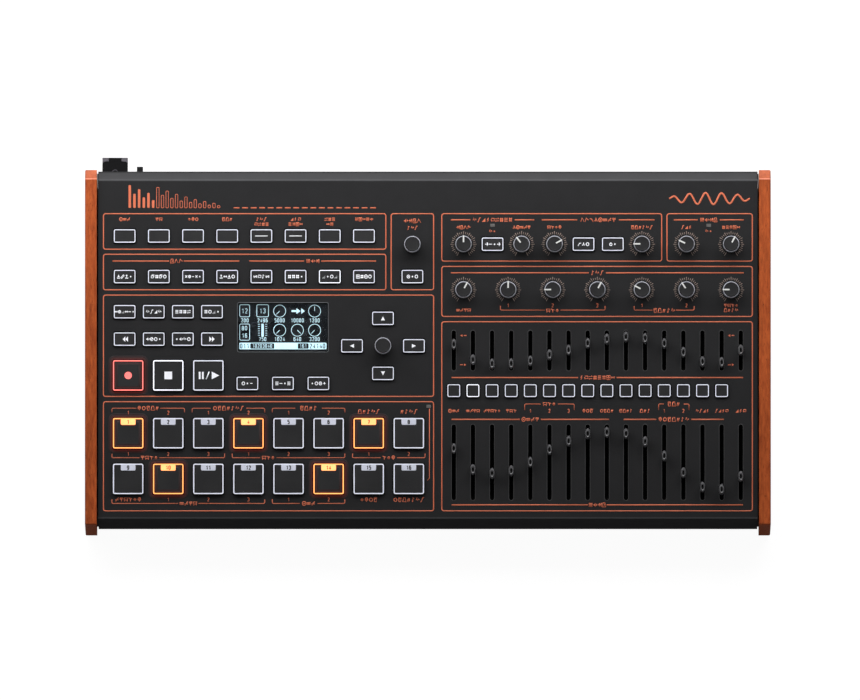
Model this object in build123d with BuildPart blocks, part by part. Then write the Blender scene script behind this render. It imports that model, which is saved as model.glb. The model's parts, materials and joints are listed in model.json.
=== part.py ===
from build123d import *
import os
from math import cos, radians, sin, tan

os.makedirs("parts", exist_ok=True)

# Desktop drum machine: a folded steel case between two wooden cheeks, with keys, pads,
# knobs and slide faders on a sloping control panel and a row of sockets along the back.
# Millimetres. +X runs to the right, +Y to the back, +Z up. The table is at z = 0 and the
# machine's overall box is centred on x = 0, y = 0.

# ---------------------------------------------------------------- case
panel_slope = 10.0  # degrees
cover_sheet = 1.5
tray_sheet = 1.2
bend_radius = 1.8
front_height = 38.5
body_clearance = 4.0  # under the case
rear_bevel = 8.0
rear_flange = 8.0
base_flange = 12.0
side_wall_height = 24.0
assembly_gap = 0.3

cheek_width = 8.5
cheek_proud = 3.0
cheek_front_overhang = 4.2
cheek_rear_overhang = 0.5
cheek_clearance = 1.0  # under the cheeks
cheek_rounding = 1.0
cheek_corner = 1.5
cheek_toe = 2.2
cover_side_gap = 1.0

# ---------------------------------------------------------------- panel layout
side_margin = 3.5
column_gap = 5.5
section_gap = 3.6
front_margin = 6.5
rear_margin = 24.6

key_count = 8  # in each of the two long rows
key_pitch = 24.84
key_margin = 15.8
key_rise = 9.75
key_section_height = 25.9
tempo_width = 31.6
tempo_knob_rise = 33.1

transport_height = 73.9
transport_rise = 15.4
track_rise = 41.8
track_row_pitch = 19.9
track_count = 4
track_pitch = 21.15
menu_rise = 9.6
menu_pitch = 25.8
window_offset = 130.8
window_rise = 50.4
arrow_offset = 203.5
arrow_rise = 36.9
arrow_reach_x = 22.5
arrow_reach_y = 20.0

pad_count = 8  # in each of the two rows
pad_pitch_x = 29.13
pad_pitch_y = 33.2

fader_columns = 16
fader_pitch = 13.9
fader_margin = 8.8
level_rise = 7.9
voice_gap = 19.9
pan_gap = 10.0
pan_margin = 6.5

synth_height = 34.5
synth_rise = 12.4
synth_step = 21.1
synth_knob_gap = 23.9
tune_height = 36.8
tune_rise = 19.6
tune_pitch = 32.4
tune_knobs = 7
lamp_rise = 26.2
lamp_inset = (4.0, 3.4)

# ---------------------------------------------------------------- keys
small_key = (16.0, 10.5)
square_key = 22.5
voice_key = 9.7
small_key_corner = 1.3
square_key_corner = 1.0
small_key_proud = 1.8
square_key_proud = 2.6
key_edge = 0.4
key_play = 0.35
key_lip = 0.9
key_flange = 0.9
key_boss_radius = 2.0
key_boss = 1.0
key_travel = 1.0

# ---------------------------------------------------------------- knobs
knob_radius = 6.3
knob_top_radius = 5.2
encoder_top_radius = 5.6
knob_height = 11.2
knob_float = 0.8
knob_edge = 0.35
pointer_width = 1.5
pointer_start = 0.6
pointer_depth = 0.3
shaft_radius = 3.0
shaft_fit = 0.05
shaft_grip = 7.0
shaft_hole_radius = 3.8
pot_body = 10.6
pot_collar_radius = 3.5

# Where each knob points at rest, in degrees clockwise from straight up the panel.
synth_turns = (0.0, -38.0, 62.0, -90.0, -65.0, 28.0)
tune_turns = (28.0, 0.0, -90.0, 28.0, -62.0, -35.0, -90.0)

# ---------------------------------------------------------------- faders
level_travel = 45.0
pan_travel = 20.0
level_slot_end = 2.75
pan_slot_end = 2.35
slot_width = 2.6
lever = (1.2, 4.0)
lever_play = 0.35
lever_reach = 3.5
fader_cap = (4.3, 8.4)
fader_cap_height = 7.0
fader_cap_float = 0.6
fader_cap_top = (1.7, 4.2)
fader_grip = 5.0
slide_pot_width = 9.0
slide_pot_end = 7.0

# Where each fader stands at rest, as a share of its travel up from the front end.
level_settings = (0.72, 0.38, 0.32, 0.36, 0.5, 0.7, 0.84, 0.96, 0.98, 0.96, 0.83, 0.6, 0.33, 0.1, 0.06, 0.27)
pan_settings = (0.72, 0.16, 0.01, 0.02, 0.12, 0.34, 0.51, 0.76, 0.91, 0.99, 0.94, 0.75, 0.43, 0.09, 0.07, 0.51)
# Pan faders that stand at nearly the same height, by column from the left.
pan_groups = {
    "pan_faders_high": (0, 7, 8, 9, 10, 11),
    "pan_faders_middle": (5, 6, 12, 15),
    "pan_faders_low": (1, 2, 3, 4, 13, 14),
}

# ---------------------------------------------------------------- display and boards
window_size = (65.8, 35.7)
window_corner = 1.5
window_pane = 1.5
window_lip = 2.5
display_air = 0.3
lamp_size = (3.2, 2.1)
board_sheet = 1.6
board_drop = 9.0  # from the panel's face to the control board's face
board_front_margin = 8.0
board_rear_margin = 22.0
board_side_margin = 2.4
pot_air = 0.3
switch_body = 6.0
switch_plunger_radius = 1.7
switch_plunger = 0.5
stud_radius = 2.5
stud_inset = 3.6
stud_rows = (12.0, 84.0, 156.0, 212.0)

# ---------------------------------------------------------------- sockets at the back
jack_board_height = 38.0
jack_board_depth = 40.0
jack_board_side = 6.0
small_plug_radius = 1.75
large_plug_radius = 3.175
plug_fit = 0.05
small_jack = (8.8, 14.0, 10.0)  # width, depth, height
small_jack_rise = 6.5
small_barrel_radius = 2.9
small_bore_depth = 12.5
small_nut = (3.9, 2.0)  # radius, thickness
large_jack = (15.0, 31.0, 14.0)
large_jack_rise = 7.5
large_barrel_radius = 4.3
large_bore_depth = 28.0
large_nut = (5.3, 2.0)
nut_fit = 0.05
hole_play = 0.25
jack_recess = 0.5
jack_pitch = 10.5
output_jacks = 16
output_jack_start = -13.5
group_jack_places = (-83.3, -72.9, -53.8, -43.3, -32.8)
large_jack_places = (164.9, 186.3, 203.4, 220.4)
din_places = (-172.6, -145.0, -117.4)
din_body = (20.0, 13.0, 19.0)
din_rise = 10.0
din_radius = 7.8
din_wall = 0.8
din_core_radius = 6.0
din_mouth_depth = 8.0
din_pin_radius = 0.8
din_pin_circle = 3.9
din_pin_depth = 6.0
usb_place = -195.9
usb_shell = (8.9, 3.3)
usb_wall = 0.4
usb_depth = 9.0
usb_tongue = (6.7, 0.7)
usb_rise = 2.4
power_place = -209.7
power_button_size = 4.4
power_button_proud = 9.8
power_button_play = 0.3
power_travel = 1.6
power_flange = 1.0
power_body = (9.0, 12.0, 11.0)
power_rise = 6.5
power_stem_radius = 1.5
inlet_place = -227.6
inlet_body = (9.0, 13.0, 11.0)
inlet_rise = 6.5
inlet_bore_radius = 2.85
inlet_bore_depth = 10.0
inlet_pin_radius = 1.0
inlet_barrel_radius = 3.8
retainer = (18.5, 13.8, 5.0)  # width, proud of the case, height
retainer_block = 10.1  # proud of the case
retainer_low = 59.5
retainer_lip = 3.0
retainer_drop = 8.0
retainer_corner = 2.5
retainer_plate = 1.2
retainer_notch = 9.1

# ---------------------------------------------------------------- feet and screws
foot_radius = 8.0
foot_inset_x = 22.0
foot_inset_y = 24.0
screw_radius = 1.5
screw_head = (2.8, 1.6)  # radius, height
screw_length = 6.0
screw_fit = 0.05
standoff_radius = 3.0
jack_board_screws = (-225.0, -70.0, 85.0, 225.0)
jack_board_screw_inset = 4.0
flange_screws = (-200.0, -70.0, 70.0, 200.0)
cheek_screws = (25.0, 120.0, 215.0)  # back from the case's front
cheek_screw_rise = 10.0

# ---------------------------------------------------------------- worked out: panel sections
level_slot = level_travel + lever[1] + 2 * level_slot_end
pan_slot = pan_travel + lever[1] + 2 * pan_slot_end
mixer_height = level_rise + level_slot + voice_gap + voice_key + pan_gap + pan_slot + pan_margin
column_height = mixer_height + tune_height + synth_height + 2 * section_gap
pad_height = column_height - transport_height - 2 * key_section_height - 3 * section_gap
left_width = (key_count - 1) * key_pitch + 2 * key_margin + section_gap + tempo_width
right_width = (fader_columns - 1) * fader_pitch + 2 * fader_margin
cover_width = 2 * side_margin + left_width + column_gap + right_width
panel_run = front_margin + column_height + rear_margin

left_start = side_margin - cover_width / 2
left_end = left_start + left_width
right_start = left_end + column_gap
right_end = right_start + right_width
column_middle = (left_end + right_start) / 2

pad_low = front_margin
transport_low = pad_low + pad_height + section_gap
mode_low = transport_low + transport_height + section_gap
function_low = mode_low + key_section_height + section_gap
column_top = front_margin + column_height
tune_low = front_margin + mixer_height + section_gap
synth_low = tune_low + tune_height + section_gap

# ---------------------------------------------------------------- worked out: case
slope = radians(panel_slope)
body_depth = panel_run * cos(slope) + rear_bevel
overall_depth = cheek_front_overhang + body_depth + retainer[1]
front_y = cheek_front_overhang - overall_depth / 2
rear_y = front_y + body_depth
body_low = body_clearance
front_top = body_low + front_height
bend_y = front_y + panel_run * cos(slope)
bend_z = front_top + panel_run * sin(slope)
rear_top = bend_z - rear_bevel
tray_width = cover_width + 2 * cover_side_gap
floor_low = body_low + cover_sheet
floor_top = floor_low + tray_sheet
tray_front = front_y + bend_radius
rear_plate_out = rear_y - cover_sheet
rear_plate_in = rear_plate_out - cover_sheet
tray_rear = rear_plate_out - bend_radius
rear_plate_top = rear_top - bend_radius * tan(radians(45 / 2)) - assembly_gap
panel_normal = (0, -sin(slope), cos(slope))
panel_axis = Axis((0, 0, 0), panel_normal)
board_low = -board_drop - board_sheet
board_rear = panel_run - board_rear_margin

# ---------------------------------------------------------------- worked out: places on the panel
key_columns = [left_start + key_margin + key_pitch * i for i in range(key_count)]
function_row = function_low + key_rise
mode_row = mode_low + key_rise
tempo_x = left_end - tempo_width / 2
function_keys = [(x, function_row) for x in key_columns]
mode_keys = [(x, mode_row) for x in key_columns]
tap_key = (tempo_x, mode_row)
tempo_spot = (tempo_x, mode_low + tempo_knob_rise)

track_columns = [left_start + key_margin + track_pitch * i for i in range(track_count)]
track_rows = [transport_low + track_rise + track_row_pitch * i for i in (1, 0)]
track_spots = [(x, u) for u in track_rows for x in track_columns]
window_spot = (left_start + window_offset, transport_low + window_rise)
menu_spots = [(window_spot[0] + menu_pitch * i, transport_low + menu_rise) for i in (-1, 0, 1)]
cursor_spot = (left_start + arrow_offset, transport_low + arrow_rise)
arrow_spots = [
    (cursor_spot[0] + arrow_reach_x * dx, cursor_spot[1] + arrow_reach_y * dy)
    for dx, dy in ((0, 1), (-1, 0), (1, 0), (0, -1))
]

pad_start = (left_start + left_end - (pad_count - 1) * pad_pitch_x) / 2
pad_columns = [pad_start + pad_pitch_x * i for i in range(pad_count)]
pad_middle = pad_low + pad_height / 2
pad_rows = [pad_middle + pad_pitch_y / 2, pad_middle - pad_pitch_y / 2]
pad_spots = [(x, u) for u in pad_rows for x in pad_columns]
transport_spots = [(x, transport_low + transport_rise) for x in pad_columns[:3]]

fader_x = [right_start + fader_margin + fader_pitch * i for i in range(fader_columns)]
level_middle = front_margin + level_rise + level_slot / 2
voice_row = front_margin + level_rise + level_slot + voice_gap + voice_key / 2
pan_middle = voice_row + voice_key / 2 + pan_gap + pan_slot / 2
level_spots = [(x, level_middle + level_travel * (s - 0.5)) for x, s in zip(fader_x, level_settings)]
pan_spots = [(x, pan_middle + pan_travel * (s - 0.5)) for x, s in zip(fader_x, pan_settings)]
voice_spots = [(x, voice_row) for x in fader_x[:-1]]

tune_start = (right_start + right_end - (tune_knobs - 1) * tune_pitch) / 2
tune_columns = [tune_start + tune_pitch * i for i in range(tune_knobs)]
tune_spots = [(x, tune_low + tune_rise) for x in tune_columns]
synth_row = synth_low + synth_rise
synth_second = tune_columns[0] + 2 * synth_step
synth_third = synth_second + synth_knob_gap
synth_columns = [tune_columns[0], synth_second, synth_third, *tune_columns[4:]]
synth_spots = [(x, synth_row) for x in synth_columns]
synth_key_spots = [
    (tune_columns[0] + synth_step, synth_row),
    (synth_third + synth_step, synth_row),
    (tune_columns[4] - synth_step, synth_row),
]
lamp_spots = [
    (synth_key_spots[0][0], synth_low + lamp_rise),
    ((tune_columns[-2] + tune_columns[-1]) / 2, synth_low + lamp_rise),
    (left_end - lamp_inset[0], pad_low + pad_height - lamp_inset[1]),
]
small_key_spots = [*function_keys, *mode_keys, tap_key, *track_spots, *menu_spots, *arrow_spots, *synth_key_spots]
square_key_spots = [*pad_spots, *transport_spots]
knob_spots = {"tempo_knob": (tempo_spot, None), "cursor_knob": (cursor_spot, None)}
for number, (spot, turn) in enumerate(zip(synth_spots, synth_turns), 1):
    knob_spots[f"upper_knob_{number}"] = (spot, turn)
for number, (spot, turn) in enumerate(zip(tune_spots, tune_turns), 1):
    knob_spots[f"lower_knob_{number}"] = (spot, turn)

# The underside of a key at rest, and the face of its switch plunger that it stops above.
key_base = -cover_sheet - assembly_gap - key_flange - key_boss
plunger_top = key_base - key_travel - assembly_gap
pot_top = -cover_sheet - pot_air

hole_radius = screw_radius + screw_fit
thread_depth = screw_length - board_sheet + assembly_gap

output_jack_places = [output_jack_start + jack_pitch * i for i in range(output_jacks)]
small_jack_places = [*group_jack_places, *output_jack_places]
jack_board_low = jack_board_height - board_sheet
jack_board_width = tray_width - 2 * tray_sheet - 2 * jack_board_side
small_jack_z = jack_board_height + small_jack_rise
large_jack_z = jack_board_height + large_jack_rise
din_z = jack_board_height + din_rise
usb_z = jack_board_height + usb_rise
power_z = jack_board_height + power_rise
inlet_z = jack_board_height + inlet_rise

side_stud_x = cover_width / 2 - stud_inset
stud_spots = [(x, u) for x in (-side_stud_x, column_middle, side_stud_x) for u in stud_rows]
jack_board_screw_y = rear_plate_in - jack_board_depth + jack_board_screw_inset
flange_screw_rows = (front_y + base_flange / 2, rear_plate_out - base_flange / 2)
cheek_screw_z = floor_top + cheek_screw_rise
foot_x = tray_width / 2 - foot_inset_x
foot_rows = (front_y + foot_inset_y, rear_y - foot_inset_y)
foot_spots = [(x, y) for x in (-foot_x, 0, foot_x) for y in foot_rows]


def panel(height=0.0):
    """The plane this far above the control panel's face: x across, y up the slope."""
    return Plane(origin=(0, front_y, front_top), x_dir=(1, 0, 0), z_dir=panel_normal).offset(height)


def rear(depth=0.0):
    """The upright plane this far in from the case's back: x across, y up, extruding inwards."""
    return Plane(origin=(0, rear_y - depth, 0), x_dir=(1, 0, 0), z_dir=(0, -1, 0))


def save(piece, name):
    """Labels a finished piece and writes it as one node."""
    piece.part.label = name
    export_step(piece.part, f"parts/{name}.step")


def blocks(plane, spots, size, corner, height):
    """Rounded upright blocks on a plane, one at each spot."""
    with BuildSketch(plane) as outline:
        with Locations(*spots):
            RectangleRounded(*size, corner)
    extrude(outline.sketch, amount=height)


def discs(plane, spots, radius, height, mode=Mode.ADD):
    """Round upright pieces on a plane, one at each spot, or holes of that shape."""
    with BuildSketch(plane) as outline:
        with Locations(*spots):
            Circle(radius)
    extrude(outline.sketch, amount=height, mode=mode)


def plates(plane, spots, size, height, mode=Mode.ADD):
    """Square-cornered blocks on a plane, one at each spot, or holes of that shape."""
    with BuildSketch(plane) as outline:
        with Locations(*spots):
            Rectangle(*size)
    extrude(outline.sketch, amount=height, mode=mode)


def keys(spots, size, corner, proud):
    """Key caps, each with the flange that keeps it in and the boss that meets its switch."""
    flange_top = -cover_sheet - assembly_gap
    blocks(panel(flange_top), spots, size, corner, proud - flange_top)
    lipped = (size[0] + 2 * key_lip, size[1] + 2 * key_lip)
    blocks(panel(flange_top), spots, lipped, corner + key_lip, -key_flange)
    discs(panel(key_base), spots, key_boss_radius, key_boss)


def key_holes(spots, size, corner):
    """The panel holes that the caps of one size of key come through."""
    with BuildSketch(panel()) as outline:
        with Locations(*spots):
            RectangleRounded(size[0] + 2 * key_play, size[1] + 2 * key_play, corner + key_play)
    extrude(outline.sketch, amount=-cover_sheet, mode=Mode.SUBTRACT)


def fader(spot):
    """A fader's metal lever and the cap pushed onto its end."""
    grip_top = fader_cap_float + fader_grip
    with BuildSketch(panel(fader_cap_float)) as foot:
        with Locations(spot):
            SlotOverall(fader_cap[1], fader_cap[0], rotation=90)
    with BuildSketch(panel(fader_cap_float + fader_cap_height)) as top:
        with Locations(spot):
            SlotOverall(fader_cap_top[1], fader_cap_top[0], rotation=90)
    loft([foot.sketch, top.sketch])
    pocket = (lever[0] + 2 * shaft_fit, lever[1] + 2 * shaft_fit)
    plates(panel(fader_cap_float), [spot], pocket, fader_grip + shaft_fit, Mode.SUBTRACT)
    plates(panel(pot_top - lever_reach), [spot], lever, grip_top - pot_top + lever_reach)


# ---------------------------------------------------------------- top cover
with BuildPart() as top_cover:
    with BuildSketch(Plane.YZ):
        with BuildLine():
            folded = FilletPolyline(
                (front_y + base_flange, body_low),
                (front_y, body_low),
                (front_y, front_top),
                (bend_y, bend_z),
                (rear_y, rear_top),
                (rear_y, rear_top - rear_flange),
                radius=bend_radius,
            )
            offset(folded, amount=cover_sheet, side=Side.RIGHT)
        make_face()
    extrude(amount=cover_width / 2, both=True)
    discs(panel(-cover_sheet), stud_spots, stud_radius, cover_sheet - board_drop)
    key_holes(small_key_spots, small_key, small_key_corner)
    key_holes(square_key_spots, (square_key, square_key), square_key_corner)
    key_holes(voice_spots, (voice_key, voice_key), small_key_corner)
    discs(panel(), [spot for spot, _ in knob_spots.values()], shaft_hole_radius, -cover_sheet, Mode.SUBTRACT)
    for middle, length in ((level_middle, level_slot), (pan_middle, pan_slot)):
        with BuildSketch(panel()):
            with Locations(*[(x, middle) for x in fader_x]):
                SlotOverall(length, slot_width, rotation=90)
        extrude(amount=-cover_sheet, mode=Mode.SUBTRACT)
    with BuildSketch(panel()):
        with Locations(window_spot):
            RectangleRounded(*window_size, window_corner)
    extrude(amount=-cover_sheet, mode=Mode.SUBTRACT)
    lamp_hole = (lamp_size[0] + 2 * shaft_fit, lamp_size[1] + 2 * shaft_fit)
    plates(panel(), lamp_spots, lamp_hole, -cover_sheet, Mode.SUBTRACT)
    discs(panel(-board_drop), stud_spots, hole_radius, thread_depth, Mode.SUBTRACT)
    with BuildSketch(Plane.XY.offset(body_low)):
        with Locations(*[(x, flange_screw_rows[0]) for x in flange_screws]):
            Circle(hole_radius)
    extrude(amount=cover_sheet, mode=Mode.SUBTRACT)
save(top_cover, "top_cover")

# ---------------------------------------------------------------- base tray
with BuildPart() as base_tray:
    tray_middle = (tray_front + tray_rear) / 2
    tray_size = (tray_width, tray_rear - tray_front)
    plates(Plane.XY.offset(floor_low), [(0, tray_middle)], tray_size, tray_sheet)
    wall_x = (tray_width - tray_sheet) / 2
    wall_spots = [(-wall_x, tray_middle), (wall_x, tray_middle)]
    plates(Plane.XY.offset(floor_top), wall_spots, (tray_sheet, tray_size[1]), side_wall_height)
    standoff_spots = [(x, jack_board_screw_y) for x in jack_board_screws]
    discs(Plane.XY.offset(floor_top), standoff_spots, standoff_radius, jack_board_low - floor_top)
    discs(Plane.XY.offset(jack_board_low), standoff_spots, hole_radius, -thread_depth, Mode.SUBTRACT)
    floor_screws = [(x, y) for x in flange_screws for y in flange_screw_rows]
    discs(Plane.XY.offset(floor_low), floor_screws, hole_radius, tray_sheet, Mode.SUBTRACT)
    cheek_screw_spots = [(front_y + back, cheek_screw_z) for back in cheek_screws]
    discs(Plane.YZ.offset(-tray_width / 2), cheek_screw_spots, hole_radius, tray_width, Mode.SUBTRACT)
save(base_tray, "base_tray")

# ---------------------------------------------------------------- rear panel
small_hole_radius = small_barrel_radius + hole_play
large_hole_radius = large_barrel_radius + hole_play
with BuildPart() as rear_panel:
    with BuildSketch(Plane.YZ):
        with BuildLine():
            angle = FilletPolyline(
                (rear_plate_out, rear_plate_top),
                (rear_plate_out, body_low),
                (rear_plate_out - base_flange, body_low),
                radius=bend_radius,
            )
            offset(angle, amount=cover_sheet, side=Side.RIGHT)
        make_face()
    extrude(amount=tray_width / 2 - assembly_gap, both=True)
    cut = 2 * cover_sheet
    small_spots = [(x, small_jack_z) for x in small_jack_places]
    large_spots = [(x, large_jack_z) for x in large_jack_places]
    din_spots = [(x, din_z) for x in din_places]
    discs(rear(), small_spots, small_hole_radius, cut, Mode.SUBTRACT)
    discs(rear(), large_spots, large_hole_radius, cut, Mode.SUBTRACT)
    discs(rear(), din_spots, din_radius + hole_play, cut, Mode.SUBTRACT)
    discs(rear(), [(inlet_place, inlet_z)], inlet_barrel_radius + hole_play, cut, Mode.SUBTRACT)
    with BuildSketch(rear()):
        with Locations((usb_place, usb_z)):
            SlotOverall(usb_shell[0] + 2 * hole_play, usb_shell[1] + 2 * hole_play)
    extrude(amount=cut, mode=Mode.SUBTRACT)
    power_hole = power_button_size + 2 * power_button_play
    plates(rear(), [(power_place, power_z)], (power_hole, power_hole), cut, Mode.SUBTRACT)
    with BuildSketch(Plane.XY.offset(body_low)):
        with Locations(*[(x, flange_screw_rows[1]) for x in flange_screws]):
            Circle(hole_radius)
    extrude(amount=cover_sheet, mode=Mode.SUBTRACT)
save(rear_panel, "rear_panel")

# ---------------------------------------------------------------- wooden cheeks
cheek_front = front_y - cheek_front_overhang
cheek_rear = rear_y + cheek_rear_overhang
cheek_lift = cheek_proud / cos(slope)
cheek_front_top = front_top + cheek_lift - cheek_front_overhang * tan(slope)
cheek_bend_y = cheek_rear - rear_bevel
cheek_bend_z = front_top + cheek_lift + (cheek_bend_y - front_y) * tan(slope)
for side, name in ((-1, "left_cheek"), (1, "right_cheek")):
    inner_x = side * tray_width / 2
    with BuildPart() as cheek:
        with BuildSketch(Plane.YZ.offset(inner_x)):
            with BuildLine():
                Polyline(
                    (cheek_front, cheek_clearance),
                    (cheek_front, cheek_front_top),
                    (cheek_bend_y, cheek_bend_z),
                    (cheek_rear, cheek_bend_z - rear_bevel),
                    (cheek_rear, cheek_clearance),
                    close=True,
                )
            make_face()
        extrude(amount=side * cheek_width)
        toe = cheek.edges().filter_by(Axis.X).sort_by(Axis.Y)[:2].sort_by(Axis.Z)[0]
        fillet(toe, cheek_toe)
        fillet(cheek.edges().filter_by(Axis.X).sort_by(Axis.Z)[-3:], cheek_corner)
        outer = cheek.faces().filter_by(Plane.YZ).sort_by(Axis.X)[0 if side < 0 else -1]
        fillet(outer.edges(), cheek_rounding)
        discs(Plane.YZ.offset(inner_x), cheek_screw_spots, hole_radius, side * screw_length, Mode.SUBTRACT)
    save(cheek, name)

# ---------------------------------------------------------------- key groups
key_groups = {
    "function_keys": ([*function_keys, *mode_keys, tap_key], small_key, small_key_corner, small_key_proud),
    "track_keys": ([*track_spots, *menu_spots], small_key, small_key_corner, small_key_proud),
    "arrow_keys": (arrow_spots, small_key, small_key_corner, small_key_proud),
    "synth_keys": (synth_key_spots, small_key, small_key_corner, small_key_proud),
    "voice_keys": (voice_spots, (voice_key, voice_key), small_key_corner, small_key_proud),
    "transport_keys": (transport_spots, (square_key, square_key), square_key_corner, square_key_proud),
    "drum_pads": (pad_spots, (square_key, square_key), square_key_corner, square_key_proud),
}
for name, (spots, size, corner, proud) in key_groups.items():
    with BuildPart() as key_group:
        keys(spots, size, corner, proud)
        fillet(key_group.edges().group_by(panel_axis)[-1], key_edge)
    save(key_group, name)

# ---------------------------------------------------------------- knobs on their shafts
shaft_low = pot_top - pot_body / 2
for name, (spot, turn) in knob_spots.items():
    with BuildPart() as knob:
        top_radius = encoder_top_radius if turn is None else knob_top_radius
        with BuildSketch(panel(knob_float)):
            with Locations(spot):
                Circle(knob_radius)
        with BuildSketch(panel(knob_float + knob_height)):
            with Locations(spot):
                Circle(top_radius)
        loft()
        fillet(knob.edges().group_by(panel_axis)[-1], knob_edge)
        if turn is not None:
            pointer_end = top_radius - knob_edge
            pointer_length = pointer_end - pointer_start
            pointer_middle = (pointer_start + pointer_end) / 2
            along = (sin(radians(turn)) * pointer_middle, cos(radians(turn)) * pointer_middle)
            with BuildSketch(panel(knob_float + knob_height)):
                with Locations((spot[0] + along[0], spot[1] + along[1])):
                    Rectangle(pointer_width, pointer_length, rotation=-turn)
            extrude(amount=-pointer_depth, mode=Mode.SUBTRACT)
        discs(panel(knob_float), [spot], shaft_radius + shaft_fit, shaft_grip + shaft_fit, Mode.SUBTRACT)
        discs(panel(shaft_low), [spot], shaft_radius, knob_float + shaft_grip - shaft_low)
    save(knob, name)

# ---------------------------------------------------------------- faders
for number, spot in enumerate(level_spots, 1):
    with BuildPart() as level_fader:
        fader(spot)
    save(level_fader, f"level_fader_{number}")

for name, columns in pan_groups.items():
    with BuildPart() as pan_faders:
        for column in columns:
            fader(pan_spots[column])
    save(pan_faders, name)

# ---------------------------------------------------------------- boards and what the control board carries
with BuildPart() as circuit_boards:
    board_width = cover_width - 2 * board_side_margin
    board_middle = (board_front_margin + board_rear) / 2
    board_size = (board_width, board_rear - board_front_margin)
    plates(panel(board_low), [(0, board_middle)], board_size, board_sheet)
    discs(panel(board_low), stud_spots, hole_radius, board_sheet, Mode.SUBTRACT)
    jack_board_middle = rear_plate_in - assembly_gap - (jack_board_depth - assembly_gap) / 2
    jack_board_size = (jack_board_width, jack_board_depth - assembly_gap)
    plates(Plane.XY.offset(jack_board_low), [(0, jack_board_middle)], jack_board_size, board_sheet)
    discs(Plane.XY.offset(jack_board_low), standoff_spots, hole_radius, board_sheet, Mode.SUBTRACT)
save(circuit_boards, "circuit_boards")

with BuildPart() as key_switches:
    switch_spots = [*small_key_spots, *square_key_spots, *voice_spots]
    switch_height = board_drop + plunger_top - switch_plunger
    plates(panel(-board_drop), switch_spots, (switch_body, switch_body), switch_height)
    discs(panel(plunger_top), switch_spots, switch_plunger_radius, -switch_plunger)
    plates(panel(-board_drop), lamp_spots, lamp_size, board_drop)
save(key_switches, "key_switches")

with BuildPart() as rotary_pots:
    pot_spots = [spot for spot, _ in knob_spots.values()]
    plates(panel(-board_drop), pot_spots, (pot_body, pot_body), board_drop + pot_top)
    discs(panel(pot_top), pot_spots, pot_collar_radius, cover_sheet)
    bore_depth = shaft_low - assembly_gap
    discs(panel(bore_depth), pot_spots, shaft_radius + shaft_fit, cover_sheet + pot_top - bore_depth, Mode.SUBTRACT)
save(rotary_pots, "rotary_pots")

with BuildPart() as slide_pots:
    channel_width = lever[0] + 2 * lever_play
    for middle, travel in ((level_middle, level_travel), (pan_middle, pan_travel)):
        middles = [(x, middle) for x in fader_x]
        body_size = (slide_pot_width, travel + 2 * slide_pot_end)
        channel = (channel_width, travel + lever[1] + 2 * lever_play)
        plates(panel(-board_drop), middles, body_size, board_drop + pot_top)
        plates(panel(pot_top), middles, channel, -lever_reach - lever_play, Mode.SUBTRACT)
save(slide_pots, "slide_pots")

with BuildPart() as display_window:
    pane = (window_size[0] + 2 * window_lip, window_size[1] + 2 * window_lip)
    plates(panel(-cover_sheet), [window_spot], pane, -window_pane)
save(display_window, "display_window")

with BuildPart() as display_module:
    module_top = -cover_sheet - window_pane - display_air
    plates(panel(-board_drop), [window_spot], pane, board_drop + module_top)
save(display_module, "display_module")

# ---------------------------------------------------------------- sockets on the jack board
body_start = 2 * cover_sheet


def socket_bodies(places, size):
    """The blocks of one kind of socket, standing on the jack board behind the rear panel."""
    middle_z = jack_board_height + size[2] / 2
    plates(rear(body_start), [(x, middle_z) for x in places], (size[0], size[2]), size[1])


def jacks(places, size, centre_z, barrel_radius, bore_radius, bore_depth):
    """Jack sockets: a block, a threaded barrel through the rear panel, and a blind bore."""
    spots = [(x, centre_z) for x in places]
    socket_bodies(places, size)
    discs(rear(body_start), spots, barrel_radius, -body_start - jack_recess)
    discs(rear(-jack_recess), spots, bore_radius, bore_depth, Mode.SUBTRACT)


with BuildPart() as small_jacks:
    small_bore_radius = small_plug_radius + plug_fit
    jacks(small_jack_places, small_jack, small_jack_z, small_barrel_radius, small_bore_radius, small_bore_depth)
save(small_jacks, "small_jacks")

with BuildPart() as large_jacks:
    large_bore_radius = large_plug_radius + plug_fit
    jacks(large_jack_places, large_jack, large_jack_z, large_barrel_radius, large_bore_radius, large_bore_depth)
save(large_jacks, "large_jacks")

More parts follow.
